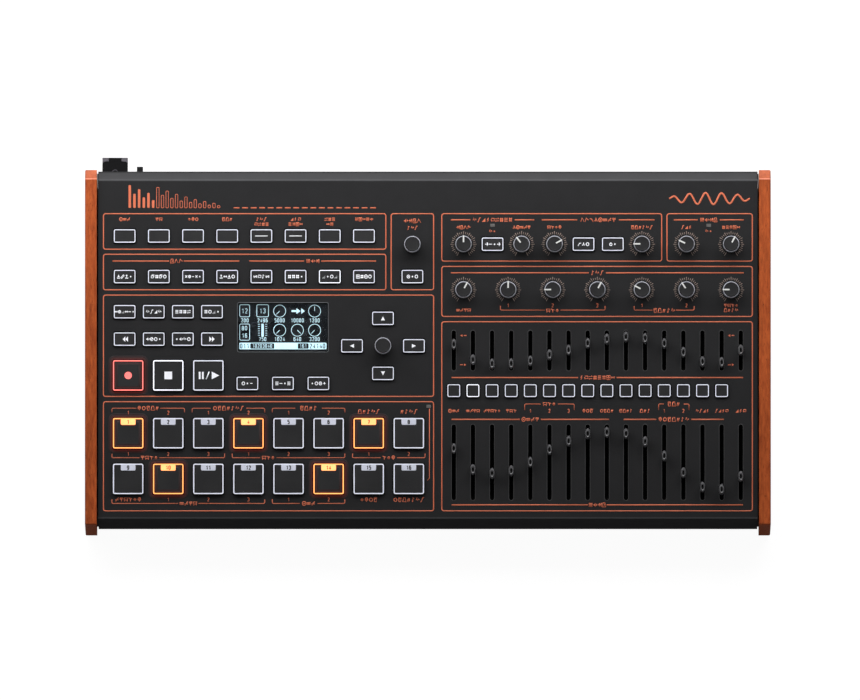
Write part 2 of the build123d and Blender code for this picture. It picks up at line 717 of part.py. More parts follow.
with BuildPart() as rear_sockets:
    # round data sockets: a shell with a deep round mouth that its insert stands in
    socket_bodies(din_places, din_body)
    discs(rear(body_start), din_spots, din_radius, -body_start + cover_sheet)
    discs(rear(cover_sheet), din_spots, din_radius - din_wall, din_mouth_depth, Mode.SUBTRACT)
    # flat data socket: an oval shell with a tongue
    usb_spot = (usb_place, usb_z)
    usb_height = usb_rise + usb_shell[1] / 2
    plates(
        rear(body_start),
        [(usb_place, jack_board_height + usb_height / 2)],
        (usb_shell[0], usb_height),
        usb_depth,
    )
    with BuildSketch(rear(body_start)):
        with Locations(usb_spot):
            SlotOverall(*usb_shell)
    extrude(amount=-body_start - jack_recess / 2)
    with BuildSketch(rear(-jack_recess)):
        with Locations(usb_spot):
            SlotOverall(usb_shell[0] - 2 * usb_wall, usb_shell[1] - 2 * usb_wall)
    extrude(amount=usb_depth, mode=Mode.SUBTRACT)
    plates(rear(cover_sheet), [usb_spot], usb_tongue, usb_depth - cover_sheet)
    # power inlet: a barrel round a centre pin
    inlet_spot = (inlet_place, inlet_z)
    socket_bodies([inlet_place], inlet_body)
    discs(rear(body_start), [inlet_spot], inlet_barrel_radius, -body_start + cover_sheet)
    discs(rear(cover_sheet), [inlet_spot], inlet_bore_radius, inlet_bore_depth, Mode.SUBTRACT)
    discs(rear(2 * cover_sheet), [inlet_spot], inlet_pin_radius, inlet_bore_depth)
    # power switch: the block that the power button works
    power_room = power_flange + power_travel + 2 * assembly_gap
    power_size = (power_body[0], power_body[2])
    power_middle = (power_place, jack_board_height + power_body[2] / 2)
    plates(rear(body_start + power_room), [power_middle], power_size, power_body[1] - power_room)
    stem_room = power_travel + 2 * assembly_gap + power_flange
    discs(
        rear(body_start + power_room),
        [(power_place, power_z)],
        power_stem_radius + shaft_fit,
        stem_room + power_flange,
        Mode.SUBTRACT,
    )
save(rear_sockets, "rear_sockets")

with BuildPart() as socket_inserts:
    # the moulded core of each round data socket, with its five pin holes
    discs(rear(cover_sheet), din_spots, din_core_radius, din_mouth_depth - shaft_fit)
    with BuildSketch(rear(cover_sheet)):
        for spot in din_spots:
            with Locations(spot):
                with PolarLocations(din_pin_circle, 5, start_angle=0, angular_range=180, endpoint=True):
                    Circle(din_pin_radius)
    extrude(amount=din_pin_depth, mode=Mode.SUBTRACT)
save(socket_inserts, "socket_inserts")

with BuildPart() as power_button:
    power_spot = (power_place, power_z)
    button_face = (power_button_size, power_button_size)
    flange_face = (power_button_size + 2 * key_lip, power_button_size + 2 * key_lip)
    plates(rear(-power_button_proud), [power_spot], button_face, power_button_proud + body_start + assembly_gap)
    fillet(power_button.faces().sort_by(Axis.Y)[-1].edges(), key_edge)
    plates(rear(body_start + assembly_gap), [power_spot], flange_face, power_flange)
    discs(
        rear(body_start + assembly_gap + power_flange),
        [power_spot],
        power_stem_radius,
        power_travel + 2 * assembly_gap + power_flange,
    )
save(power_button, "power_button")

# ---------------------------------------------------------------- cord retainer
with BuildPart() as cord_retainer:
    block_depth = rear_y + retainer_block - rear_plate_out
    block_spot = (inlet_place, rear_plate_out + block_depth / 2)
    plates(Plane.XY.offset(retainer_low), [block_spot], (retainer[0], block_depth), retainer[2])
    corners = cord_retainer.edges().filter_by(Axis.Z).group_by(Axis.Y)[-1]
    fillet(corners, retainer_corner)
    # the plate under the block, and the lip at its end that keeps the cord in
    retainer_rear = rear_y + retainer[1]
    plate_depth = retainer_rear - rear_plate_out
    plate_spot = (inlet_place, rear_plate_out + plate_depth / 2)
    plates(Plane.XY.offset(retainer_low), [plate_spot], (retainer[0], plate_depth), -retainer_plate)
    lip_middle = (inlet_place, retainer_rear - retainer_lip / 2)
    plates(Plane.XY.offset(retainer_low), [lip_middle], (retainer_notch, retainer_lip), -retainer_drop)
save(cord_retainer, "cord_retainer")

# ---------------------------------------------------------------- feet and fasteners
with BuildPart() as rubber_feet:
    discs(Plane.XY, foot_spots, foot_radius, floor_low)
save(rubber_feet, "rubber_feet")


def screws(seat, spots):
    """Pan-head screws, heads standing on a plane and shanks running back through it."""
    discs(seat, spots, screw_head[0], screw_head[1])
    discs(seat, spots, screw_radius, -screw_length)


def nuts(places, centre_z, barrel_radius, nut):
    """Hexagon nuts on the barrels of the jacks, against the rear panel."""
    spots = [(x, centre_z) for x in places]
    with BuildSketch(rear(cover_sheet)) as outline:
        with Locations(*spots):
            RegularPolygon(nut[0], 6, major_radius=False)
            Circle(barrel_radius + nut_fit, mode=Mode.SUBTRACT)
    extrude(outline.sketch, amount=-nut[1])


with BuildPart() as screws_and_nuts:
    below = Plane(origin=(0, 0, body_low), x_dir=(1, 0, 0), z_dir=(0, 0, -1))
    screws(below, [(x, -y) for x, y in floor_screws])
    screws(Plane.XY.offset(jack_board_height), standoff_spots)
    under_board = panel(board_low)
    board_seat = Plane(origin=under_board.origin, x_dir=(1, 0, 0), z_dir=-under_board.z_dir)
    screws(board_seat, [(x, -u) for x, u in stud_spots])
    inner_wall = tray_width / 2 - tray_sheet
    left_seat = Plane(origin=(-inner_wall, 0, 0), x_dir=(0, 1, 0), z_dir=(1, 0, 0))
    right_seat = Plane(origin=(inner_wall, 0, 0), x_dir=(0, -1, 0), z_dir=(-1, 0, 0))
    screws(left_seat, cheek_screw_spots)
    screws(right_seat, [(-y, z) for y, z in cheek_screw_spots])
    nuts(small_jack_places, small_jack_z, small_barrel_radius, small_nut)
    nuts(large_jack_places, large_jack_z, large_barrel_radius, large_nut)
save(screws_and_nuts, "screws_and_nuts")
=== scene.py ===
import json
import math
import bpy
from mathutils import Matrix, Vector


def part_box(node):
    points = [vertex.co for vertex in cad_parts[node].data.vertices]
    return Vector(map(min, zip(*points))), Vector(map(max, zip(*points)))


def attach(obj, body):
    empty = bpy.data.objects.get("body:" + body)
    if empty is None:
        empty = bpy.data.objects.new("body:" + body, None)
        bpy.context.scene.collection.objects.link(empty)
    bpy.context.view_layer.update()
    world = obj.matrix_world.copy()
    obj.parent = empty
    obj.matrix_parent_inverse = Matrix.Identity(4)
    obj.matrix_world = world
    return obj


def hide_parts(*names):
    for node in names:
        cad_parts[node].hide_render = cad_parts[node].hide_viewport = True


bl_info = {
    "name": "Drum Machine Finish",
    "version": (1, 0, 0),
    "blender": (4, 5, 0),
    "location": "3D View > Sidebar > Drum Machine",
    "description": "Keys, knobs, faders, print and finishes for a desktop drum machine",
    "category": "Object",
}

from types import SimpleNamespace

import bpy
import numpy as np
from bpy.props import FloatProperty, FloatVectorProperty, PointerProperty
from bpy.types import Operator, Panel, PropertyGroup
from mathutils import Matrix, Vector

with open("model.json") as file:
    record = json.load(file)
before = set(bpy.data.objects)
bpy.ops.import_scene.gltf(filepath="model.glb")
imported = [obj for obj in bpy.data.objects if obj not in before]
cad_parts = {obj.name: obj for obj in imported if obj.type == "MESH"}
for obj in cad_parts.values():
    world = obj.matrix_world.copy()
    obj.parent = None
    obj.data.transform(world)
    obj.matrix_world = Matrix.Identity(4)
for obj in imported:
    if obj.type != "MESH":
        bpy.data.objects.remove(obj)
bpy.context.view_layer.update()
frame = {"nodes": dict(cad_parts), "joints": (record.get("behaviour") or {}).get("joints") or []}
NODES = frame["nodes"]
JOINTS = {joint["child"]: joint for joint in frame["joints"]}
CHASSIS = "chassis"


def srgb(red, green, blue):
    """A colour given as it looks on screen, 0 to 255, as the linear colour that shaders take."""
    shares = [channel / 255 for channel in (red, green, blue)]
    return tuple(s / 12.92 if s <= 0.04045 else ((s + 0.055) / 1.055) ** 2.4 for s in shares)


def length(name, description, default):
    """A setting in metres."""
    return FloatProperty(name=name, description=description, default=default, unit="LENGTH", precision=5)


def colour(name, description, *screen):
    """A colour setting, given as it looks on screen."""
    linear = srgb(*screen)
    return FloatVectorProperty(name=name, description=description, default=linear, subtype="COLOR", size=3)


# ---------------------------------------------------------------- where things are
# On the panel, x is across it, u is up it from the front bend, and heights are above its face.
PRESS = Vector(JOINTS["tempo_knob"]["axis"])
PIVOT = Vector(JOINTS["tempo_knob"]["pos_m"])


def axes(across, up, origin):
    """The matrix of a face's own axes: across it, up it and out of it, from an origin."""
    across, up = Vector(across), Vector(up)
    return Matrix.Translation(origin) @ Matrix((across, up, across.cross(up))).transposed().to_4x4()


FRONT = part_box("top_cover")[0].y
CREST = max((vertex.co for vertex in NODES["top_cover"].data.vertices), key=lambda co: co.z).y
BEND = Vector((0, FRONT, PIVOT.z - (PIVOT.y - FRONT) * PRESS.y / -PRESS.z))
PANEL = axes((1, 0, 0), (0, -PRESS.z, PRESS.y), BEND)
PANEL_INVERSE = PANEL.inverted()


def at(plane, x, y, height=0.0, turn=0.0):
    """A place on a face, turned clockwise by an angle in radians."""
    return plane @ Matrix.Translation((x, y, height)) @ Matrix.Rotation(-turn, 4, "Z")


def solids(name):
    """Lowest and highest corner of each separate solid of a CAD node, along the panel's axes."""
    mesh = NODES[name].data
    points = np.array([PANEL_INVERSE @ vertex.co for vertex in mesh.vertices])
    place = np.unique(points.round(6), axis=0, return_inverse=True)[1].ravel()
    corners = np.array([face.vertices for face in mesh.polygons])
    label = place
    while True:
        lowest = np.full(place.max() + 1, len(points))
        shared = np.broadcast_to(label[corners].min(axis=1)[:, None], corners.shape)
        np.minimum.at(lowest, place[corners], shared)
        if (lowest[place] == label).all():
            break
        label = lowest[place]
    return [(points[label == one].min(axis=0), points[label == one].max(axis=0)) for one in np.unique(label)]


def spots(name, wider=0.0):
    """Middles (x, u) of a CAD node's solids on the panel, those wider than a limit, row by row."""
    found = [(low + high) / 2 for low, high in solids(name) if high[0] - low[0] > wider]
    return sorted(((x, u) for x, u, _ in found), key=lambda spot: (-round(spot[1], 3), spot[0]))


def knob_turn(name):
    """How far a knob's pointer is turned clockwise at rest, in radians."""
    joint = JOINTS[name]
    return 0.0 if joint.get("continuous") else -math.radians(sum(joint["range_deg"]) / 2)


# ---------------------------------------------------------------- modelling
def pick(*objects):
    """Selects only these objects and makes the first one active."""
    bpy.ops.object.select_all(action="DESELECT")
    for chosen in objects:
        chosen.select_set(True)
    bpy.context.view_layer.objects.active = objects[0]


def begin(name):
    """Names the primitive that was just added and opens it in edit mode."""
    piece = bpy.context.object
    piece.name = name
    bpy.ops.object.mode_set(mode="EDIT")
    return piece


def close(piece, edge=0.0, smooth=35.0):
    """Leaves edit mode, turns all faces outwards and softens the sharp edges."""
    bpy.ops.mesh.select_all(action="SELECT")
    bpy.ops.mesh.normals_make_consistent(inside=False)
    bpy.ops.object.mode_set(mode="OBJECT")
    pick(piece)
    if edge:
        bevel = piece.modifiers.new("soft_edges", "BEVEL")
        bevel.width = edge
        bevel.segments = 2
        bevel.limit_method = "ANGLE"
        bevel.angle_limit = math.radians(50)
        bpy.ops.object.modifier_apply(modifier=bevel.name)
    if smooth:
        bpy.ops.object.shade_smooth_by_angle(angle=math.radians(smooth))
    else:
        bpy.ops.object.shade_flat()
    return piece


def slab(name, size, corner, steps, base=0.0, edge=0.0, bends=4, smooth=20.0):
    """A rounded rectangle drawn up from a base height by (inset, rise) steps."""
    bpy.ops.object.select_all(action="DESELECT")
    bpy.ops.mesh.primitive_plane_add(size=1)
    piece = begin(name)
    bpy.ops.transform.resize(value=(*size, 1))
    bpy.ops.transform.translate(value=(0, 0, base))
    if corner:
        bpy.ops.mesh.bevel(offset=corner, segments=bends, affect="VERTICES")
        bpy.ops.mesh.select_all(action="SELECT")
    for inset, rise in steps:
        if inset:
            bpy.ops.mesh.inset(thickness=inset)
        if rise:
            bpy.ops.mesh.extrude_region_move(TRANSFORM_OT_translate={"value": (0, 0, rise)})
    return close(piece, edge, smooth=smooth)


def turned(name, profile, sides=48, edge=0.0, across=1.0):
    """A turned piece through (radius, height) points, lowest first, or an oval one if across isn't 1."""
    bpy.ops.object.select_all(action="DESELECT")
    bpy.ops.mesh.primitive_circle_add(vertices=sides, radius=profile[0][0], fill_type="NGON")
    piece = begin(name)
    bpy.ops.transform.resize(value=(across, 1, 1), center_override=(0, 0, 0))
    bpy.ops.transform.translate(value=(0, 0, profile[0][1]))
    for (radius, height), (next_radius, next_height) in zip(profile, profile[1:]):
        bpy.ops.mesh.extrude_region_move(TRANSFORM_OT_translate={"value": (0, 0, next_height - height)})
        share = next_radius / radius
        bpy.ops.transform.resize(value=(share, share, 1), center_override=(0, 0, next_height))
    return close(piece, edge)


def spread(master, places, name, keep=False):
    """Copies a modelled piece to each place and joins the copies into one piece."""
    copies = []
    for place in places:
        copy = master.copy()
        copy.data = master.data.copy()
        copy.data.transform(place)
        bpy.context.scene.collection.objects.link(copy)
        copies.append(copy)
    if not keep:
        bpy.data.objects.remove(master)
    piece = join(*copies)
    piece.name = name
    return piece


def join(*pieces):
    """Joins pieces into the first one."""
    pick(*pieces)
    if len(pieces) > 1:
        bpy.ops.object.join()
    return pieces[0]


def dress(piece, material, body=CHASSIS, replaces=()):
    """Gives a piece its finish, or one by name, the CAD body that it rides on and what it stands for."""
    if isinstance(material, str):
        material = bpy.data.materials[material]
    piece.data.materials.clear()
    piece.data.materials.append(material)
    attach(piece, body)
    if replaces:
        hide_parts(*replaces)
    return piece


def repaint(material, *nodes):
    """Gives CAD nodes a finish."""
    for node in nodes:
        NODES[node].data.materials.clear()
        NODES[node].data.materials.append(material)


INK = 0.00003  # middle of the ink above the face that it is printed on


def arc(centre, radius, start, end, steps):
    """Points along an arc, angles in degrees anticlockwise from +X."""
    turns = [math.radians(start + (end - start) * i / steps) for i in range(steps + 1)]
    return [(centre[0] + radius * math.cos(t), centre[1] + radius * math.sin(t)) for t in turns]


def rounded(x0, x1, y0, y1, corner):
    """The outline of a rounded rectangle."""
    middles = ((x1, y1, 0), (x0, y1, 90), (x0, y0, 180), (x1, y0, 270))
    outline = []
    for x, y, start in middles:
        centre_x = x - math.copysign(corner, x - (x0 + x1) / 2)
        centre_y = y - math.copysign(corner, y - (y0 + y1) / 2)
        outline += arc((centre_x, centre_y), corner, start, start + 90, 4)
    return outline


def ribbon(name, paths, width, plane, height=INK, thick=0.00004, filled=False):
    """Printed lines of one width on a face, or filled outlines. Each path is (points, closed)."""
    bpy.ops.object.select_all(action="DESELECT")
    bpy.ops.curve.primitive_nurbs_path_add()
    piece = bpy.context.object
    piece.name = name
    curve = piece.data
    curve.splines.clear()
    for points, closed in paths:
        spline = curve.splines.new("POLY")
        spline.points.add(len(points) - 1)
        for point, (x, y) in zip(spline.points, points):
            point.co = (x, y, 0, 1)
            point.tilt = 0.0 if filled else math.pi / 2
        spline.use_cyclic_u = closed or filled
    curve.dimensions = "2D" if filled else "3D"
    if filled:
        curve.fill_mode = "BOTH"
    else:
        curve.twist_mode = "Z_UP"
        curve.extrude = width / 2
    bpy.ops.object.convert(target="MESH")
    piece = bpy.context.object
    body = piece.modifiers.new("ink", "SOLIDIFY")
    body.thickness = thick
    body.offset = 0
    bpy.ops.object.modifier_apply(modifier=body.name)
    piece.data.transform(plane @ Matrix.Translation((0, 0, height)))
    return piece


# ---------------------------------------------------------------- symbols
# Strokes on a grid of 8 by 8, each point two digits. A leading c is a circle, d a disc, both
# middle then radius in half steps, and f a filled outline.
SYMBOLS = {
    "0": "20 40 51 57 48 28 17 11 20",
    "1": "26 48 40",
    "2": "17 28 48 57 55 10 50",
    "3": "17 28 48 57 55 44 53 51 40 20 11/34 44",
    "4": "40 48 12 62",
    "5": "58 18 15 45 54 51 40 10",
    "6": "57 48 28 17 11 20 40 51 54 45 15",
    "7": "18 58 56 30",
    "8": "24 15 17 28 48 57 55 44 24 13 11 20 40 51 53 44",
    "9": "11 20 40 51 57 48 28 17 14 23 53",
    "store": "48 42/25 42 65/12 10 70 72",
    "fetch": "41 48/26 48 66/12 10 70 72",
    "copy": "01 51 56 06 01/26 28 78 73 53",
    "cross": "11 77/17 71",
    "chain": "02 22 26 02 06/33 55/62 82 86 66 62",
    "cells": "d224/d264/d624/d664",
    "steps": "f00 12 10 00/f20 34 30 20/f40 56 50 40/f60 78 70 60",
    "window": "00 80 88 08 00/40 48/04 84",
    "span": "04 84/22 04 26/62 84 66",
    "wave": "04 14 28 42 66 74 84",
    "layers": "01 81/04 84/07 87",
    "mesh": "20 28/60 68/02 82/06 86",
    "back": "f14 58 50/f54 98 90",
    "ahead": "f00 44 08/f40 84 48",
    "ring": "c447",
    "slash": "c447/11 77",
    "dot": "d444",
    "minus": "14 74",
    "plus": "14 74/41 47",
    "right": "04 84/58 84 50",
    "rise": "00 20 58 88",
    "power": "48 44/56 75 73 61 41 21 13 15 36",
    "target": "c447/d443",
    "up": "f11 71 47",
    "down": "f17 77 41",
    "left": "f71 77 14",
    "forward": "f11 17 74",
    "record": "d444",
    "stop": "f11 71 77 17",
    "bar": "f30 38 58 50",
    "dash": "04 84",
    "swap": "06 86 68/82 02 20",
    "loop": "17 87 82 12 15/f02 20 24",
    "note": "d213/31 38 66",
    "ramp": "f00 80 88",
    "spark": "58 24 54 20",
    "attack": "00 38 80",
    "hold": "00 28 64 84",
    "lowpass": "06 46 80",
    "peak": "02 32 48 62 82",
    "highpass": "00 46 86",
    "speaker": "f03 23 50 58 25 05/72 86",
    "input": "80 88/04 64/37 64 31",
    "clock": "00 28 68 80 00/42 77",
    "pen": "00 02 68 86 20 00",
    "kick": "c448/d443",
    "snare": "02 82 86 06 02/04 84",
    "stick": "03 83/10 88",
    "hihat": "05 85/07 87/40 45",
    "tom": "03 83 87 07 03/10 13/70 73",
    "ride": "07 85/40 46",
    "crash": "41 47/14 74/22 66/26 62",
    "shaker": "c456/40 42/26 64/24 66",
    "hoop": "c447/d041/d841/d481/d401",
    "conga": "18 78 60 20 18/16 76",
    "bell": "28 68 80 00 28",
    "clap": "10 37/40 67",
    "slider": "10 18/d163/40 48/d423/70 78/d753",
}


def symbol(name, x, y, size, squeeze=1.0):
    """The strokes and the filled outlines of a symbol of one height with its middle at x, y."""
    step = size / 8
    strokes, fills = [], []

    def spot(pair):
        return (x + (int(pair[0]) - 4) * step * squeeze, y + (int(pair[1]) - 4) * step)

    for part in SYMBOLS[name].split("/"):
        kind = part[0]
        if kind in "cd":
            middle = spot(part[1:3])
            outline = arc(middle, int(part[3]) / 2 * step, 0, 330, 11)
            outline = [(middle[0] + (px - middle[0]) * squeeze, py) for px, py in outline]
            (strokes if kind == "c" else fills).append((outline, True))
        elif kind == "f":
            fills.append(([spot(pair) for pair in part[1:].split()], True))
        else:
            pairs = part.split()
            strokes.append(([spot(pair) for pair in pairs], False))
    return strokes, fills


def signs(name, marks, width, plane, height=INK):
    """Printed symbols: marks are (symbol, x, y, size), and a number is set digit by digit."""
    strokes, fills = [], []
    for text, x, y, size in marks:
        if text.isdigit():
            names, squeeze, pitch = text, 0.84, 0.8 * size
        else:
            names = text.split()
            squeeze, pitch = (1.0 if len(names) == 1 else 0.86), 1.12 * size
        for i, one in enumerate(names):
            middle = x + (i - (len(names) - 1) / 2) * pitch
            middle += 0.1 * size * squeeze if one.isdigit() else 0
            lines, solid = symbol(one, middle, y, size, squeeze)
            strokes += lines
            fills += solid
    made = []
    if strokes:
        made.append(ribbon(name, strokes, width, plane, height))
    if fills:
        made.append(ribbon(f"{name}_solid", fills, 0, plane, height, filled=True))
    return join(*made)


PICTURES = (
    "kick snare stick hihat tom ride crash shaker hoop conga bell clap note wave rise ramp spark loop "
    "swap cells layers mesh window span slider speaker input clock attack hold lowpass peak"
).split()


def run(start, count):
    """A row of small pictures of drums and sounds, taken in turn."""
    return " ".join(PICTURES[(start + i) % len(PICTURES)] for i in range(count))


# ---------------------------------------------------------------- shader tools
def feed(tree, node, inputs):
    """Sets a node's inputs to values, or links them to other nodes' sockets."""
    for name, value in inputs.items():
        if isinstance(value, bpy.types.NodeSocket):
            tree.links.new(value, node.inputs[name])
        else:
            node.inputs[name].default_value = value


def add(tree, kind, inputs=None, **settings):
    """Adds a shader node with its settings and inputs."""
    made = tree.nodes.new("ShaderNode" + kind)
    for name, value in settings.items():
        setattr(made, name, value)
    feed(tree, made, inputs or {})
    return made


def remap(tree, value, start=0.0, end=1.0, low=0.0, high=1.0):
    """Where a value lies from start to end, as a value from low to high."""
    ends = {"From Min": start, "From Max": end, "To Min": low, "To Max": high}
    return add(tree, "MapRange", {"Value": value, **ends}).outputs[0]


def blend(tree, share, first, second):
    """A mix of two colours."""
    return add(tree, "Mix", {0: share, 6: first, 7: second}, data_type="RGBA").outputs[2]


def scaled(tree, vector, factor):
    """A vector or colour times a factor."""
    return add(tree, "VectorMath", {0: vector, "Scale": factor}, operation="SCALE").outputs[0]


def relief(tree, height, strength, depth=0.0001):
    """The normal of a shallow bump."""
    return add(tree, "Bump", {"Height": height, "Strength": strength, "Distance": depth}).outputs[0]


def along_y(tree, coords, start, end, stops):
    """A level that changes along Y from start to end, through stops of (y, level)."""
    y = add(tree, "SeparateXYZ", {0: coords}).outputs["Y"]
    ramp = add(tree, "ValToRGB", {"Fac": remap(tree, y, start, end)})
    elements = ramp.color_ramp.elements
    while len(elements) < len(stops):
        elements.new(0.5)
    for element, (y, level) in zip(elements, stops):
        element.position = (y - start) / (end - start)
        element.color = (level, level, level, 1)
    return ramp.outputs["Color"]


def shared(name, inputs, outputs):
    """A new node group with float sockets, or a vector one where the default is None."""
    tree = bpy.data.node_groups.new(name, "ShaderNodeTree")
    for label, value in inputs.items():
        kind = "NodeSocketVector" if value is None else "NodeSocketFloat"
        socket = tree.interface.new_socket(label, in_out="INPUT", socket_type=kind)
        if value is not None:
            socket.default_value = value
    for label in outputs:
        tree.interface.new_socket(label, in_out="OUTPUT", socket_type="NodeSocketFloat")
    return tree, tree.nodes.new("NodeGroupInput"), tree.nodes.new("NodeGroupOutput")


def grain_group():
    """Fine grain of a moulded or painted skin, and the broad patches that uneven wear leaves."""
    sockets = {"Vector": None, "Scale": 900.0, "Patch Scale": 30.0}
    tree, given, out = shared("skin_grain", sockets, ("Grain", "Patch"))
    for label, scale, detail in (("Grain", "Scale", 3.0), ("Patch", "Patch Scale", 4.0)):
        inputs = {"Vector": given.outputs["Vector"], "Scale": given.outputs[scale], "Detail": detail}
        tree.links.new(add(tree, "TexNoise", inputs).outputs["Fac"], out.inputs[label])
    return tree


def streak_group():
    """Long streaks, as brushing leaves on metal or fibres leave in wood."""
    sockets = {"Vector": None, "Across": 900.0, "Along": 12.0}
    tree, given, out = shared("long_streaks", sockets, ("Streak", "Wander"))
    across = given.outputs["Across"]
    stretch = add(tree, "CombineXYZ", {"X": across, "Y": given.outputs["Along"], "Z": across})
    ends = {0: given.outputs["Vector"], 1: stretch.outputs[0]}
    place = add(tree, "VectorMath", ends, operation="MULTIPLY").outputs[0]
    wander = add(tree, "TexNoise", {"Vector": place, "Scale": 0.12, "Detail": 2.0})
    bent = add(tree, "VectorMath", {0: place, 1: wander.outputs["Color"]}, operation="ADD").outputs[0]
    streak = add(tree, "TexNoise", {"Vector": bent, "Scale": 1.0, "Detail": 5.0, "Roughness": 0.6})
    tree.links.new(streak.outputs["Fac"], out.inputs["Streak"])
    tree.links.new(wander.outputs["Fac"], out.inputs["Wander"])
    return tree


GRAIN = grain_group()
STREAK = streak_group()


def new_material(name):
    """An empty material with its shader, and the object's own coordinates."""
    material = bpy.data.materials.new(name)
    material.use_nodes = True
    tree = material.node_tree
    return material, tree, tree.nodes["Principled BSDF"], add(tree, "TexCoord").outputs["Object"]


def skin(tree, coords, grain, patches):
    """The shared grain: its fine part and its broad part."""
    inputs = {"Vector": coords, "Scale": grain, "Patch Scale": patches}
    made = add(tree, "Group", inputs, node_tree=GRAIN)
    return made.outputs["Grain"], made.outputs["Patch"]


def streaks(tree, coords, across, along):
    """The shared streaks, by how many there are across and along a metre."""
    inputs = {"Vector": coords, "Across": across, "Along": along}
    return add(tree, "Group", inputs, node_tree=STREAK).outputs["Streak"]


def shade(tone, factor):
    """A linear colour made darker or lighter, with full alpha."""
    return (*(min(1.0, channel * factor) for channel in tone[:3]), 1.0)


def finish(
    name,
    tone,
    roughness,
    grain=900.0,
    depth=0.15,
    contrast=0.12,
    metallic=0.0,
    specular=0.5,
    glow=None,
    side_glow=None,
):
    """A moulded, painted or plated skin: fine grain, uneven tone and gloss, and a shallow bump."""
    material, tree, shader, coords = new_material(name)
    fine, broad = skin(tree, coords, grain, grain / 25)
    both = add(tree, "Math", {0: fine, 1: broad}, operation="ADD").outputs[0]
    level = remap(tree, both, 0.7, 1.3)
    matt, glossy = max(0.02, roughness - 0.07), min(1.0, roughness + 0.07)
    inputs = {
        "Base Color": blend(tree, level, shade(tone, 1 - contrast), shade(tone, 1 + contrast)),
        "Roughness": remap(tree, broad, 0.3, 0.7, matt, glossy),
        "Normal": relief(tree, fine, depth),
        "Metallic": metallic,
        "Specular IOR Level": specular,
    }
    feed(tree, shader, inputs)
    if glow:
        add_glow(tree, shader, level, glow, side_glow or glow)
    return material


def add_glow(tree, shader, level, glow, side_glow):
    """Light from within, in linear red, green and blue: one for faces along the panel, one for the sides."""
    normal = add(tree, "NewGeometry").outputs["Normal"]
    facing = add(tree, "VectorMath", {0: normal, 1: tuple(-PRESS)}, operation="DOT_PRODUCT")
    share = remap(tree, facing.outputs["Value"], 0.55, 0.95)
    light = blend(tree, share, (*side_glow, 1.0), (*glow, 1.0))
    uneven = remap(tree, level, low=0.9, high=1.1)
    feed(tree, shader, {"Emission Color": scaled(tree, light, uneven), "Emission Strength": 1.0})


def wood(name, light, dark, sheen_tone):
    """Oiled hardwood with its fibres along the cheek, with a painted highlight along the edge of its rear bevel
    and a lighter painted sheen over the bevel.
    """
    material, tree, shader, coords = new_material(name)
    fibre = streaks(tree, coords, 620.0, 42.0)
    pores = streaks(tree, coords, 1600.0, 130.0)
    figure = streaks(tree, coords, 110.0, 11.0)
    tones = add(tree, "ValToRGB", {"Fac": fibre})
    for element, position, tone in zip(tones.color_ramp.elements, (0.3, 0.68), (dark, light)):
        element.position = position
        element.color = (*tone, 1.0)
    toned = scaled(tree, tones.outputs["Color"], remap(tree, figure, 0.35, 0.65, 0.82, 1.1))
    hollow = remap(tree, pores, 0.3, 0.42)
    mix = blend(tree, hollow, shade(dark, 0.45), toned)
    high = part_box("left_cheek")[1].y
    # Painted highlight and sheen: how much of the pale colour is mixed in along Y, most just behind the crest.
    sheen_stops = (
        (CREST + 0.0003, 0.0),
        (CREST + 0.0006, 0.75),
        (CREST + 0.0012, 0.75),
        (CREST + 0.0016, 0.22),
        (high, 0.3),
    )
    inputs = {
        "Base Color": blend(tree, along_y(tree, coords, CREST - 0.01, high, sheen_stops), mix, (*sheen_tone, 1.0)),
        "Roughness": remap(tree, fibre, low=0.5, high=0.36),
        "Normal": relief(tree, hollow, 0.35),
        "Specular IOR Level": 0.14,
    }
    feed(tree, shader, inputs)
    return material


def brushed(name, tone, roughness, across=1800.0, along=25.0):
    """Rolled or turned metal with fine lines along it."""
    material, tree, shader, coords = new_material(name)
    lines = streaks(tree, coords, across, along)
    broad = skin(tree, coords, 500.0, 25.0)[1]
    inputs = {
        "Base Color": blend(tree, lines, shade(tone, 0.75), shade(tone, 1.15)),
        "Roughness": remap(tree, broad, low=roughness - 0.1, high=roughness + 0.15),
        "Normal": relief(tree, lines, 0.1, 0.00005),
        "Metallic": 1.0,
    }
    feed(tree, shader, inputs)
    return material


def laminate(name, mask, copper):
    """A circuit board: solder mask over crossing copper tracks, with rows of plated holes."""
    material, tree, shader, coords = new_material(name)
    inputs = {
        "Vector": coords,
        "Color1": (0, 0, 0, 1),
        "Color2": (0.1, 0.1, 0.1, 1),
        "Mortar": (1, 1, 1, 1),
        "Scale": 110.0,
        "Mortar Size": 0.04,
    }
    tracks = add(tree, "TexBrick", inputs).outputs["Fac"]
    holes = add(tree, "TexVoronoi", {"Vector": coords, "Scale": 180.0, "Randomness": 0.35})
    ring = remap(tree, holes.outputs["Distance"], 0.1, 0.16)
    raised = blend(tree, tracks, (*mask, 1.0), shade(mask, 1.8))
    inputs = {
        "Base Color": blend(tree, ring, (*copper, 1.0), raised),
        "Normal": relief(tree, tracks, 0.3, 0.00005),
        "Roughness": 0.35,
    }
    feed(tree, shader, inputs)
    return material


def glass(name, tone, roughness):
    """A clear moulded pane with a trace of haze from wiping."""
    material, tree, shader, coords = new_material(name)
    wipes = streaks(tree, coords, 150.0, 35.0)
    inputs = {
        "Roughness": remap(tree, wipes, 0.4, 0.8, roughness, 0.12),
        "Base Color": (*tone, 1.0),
        "Transmission Weight": 1.0,
        "IOR": 1.1,
    }
    feed(tree, shader, inputs)
    return material


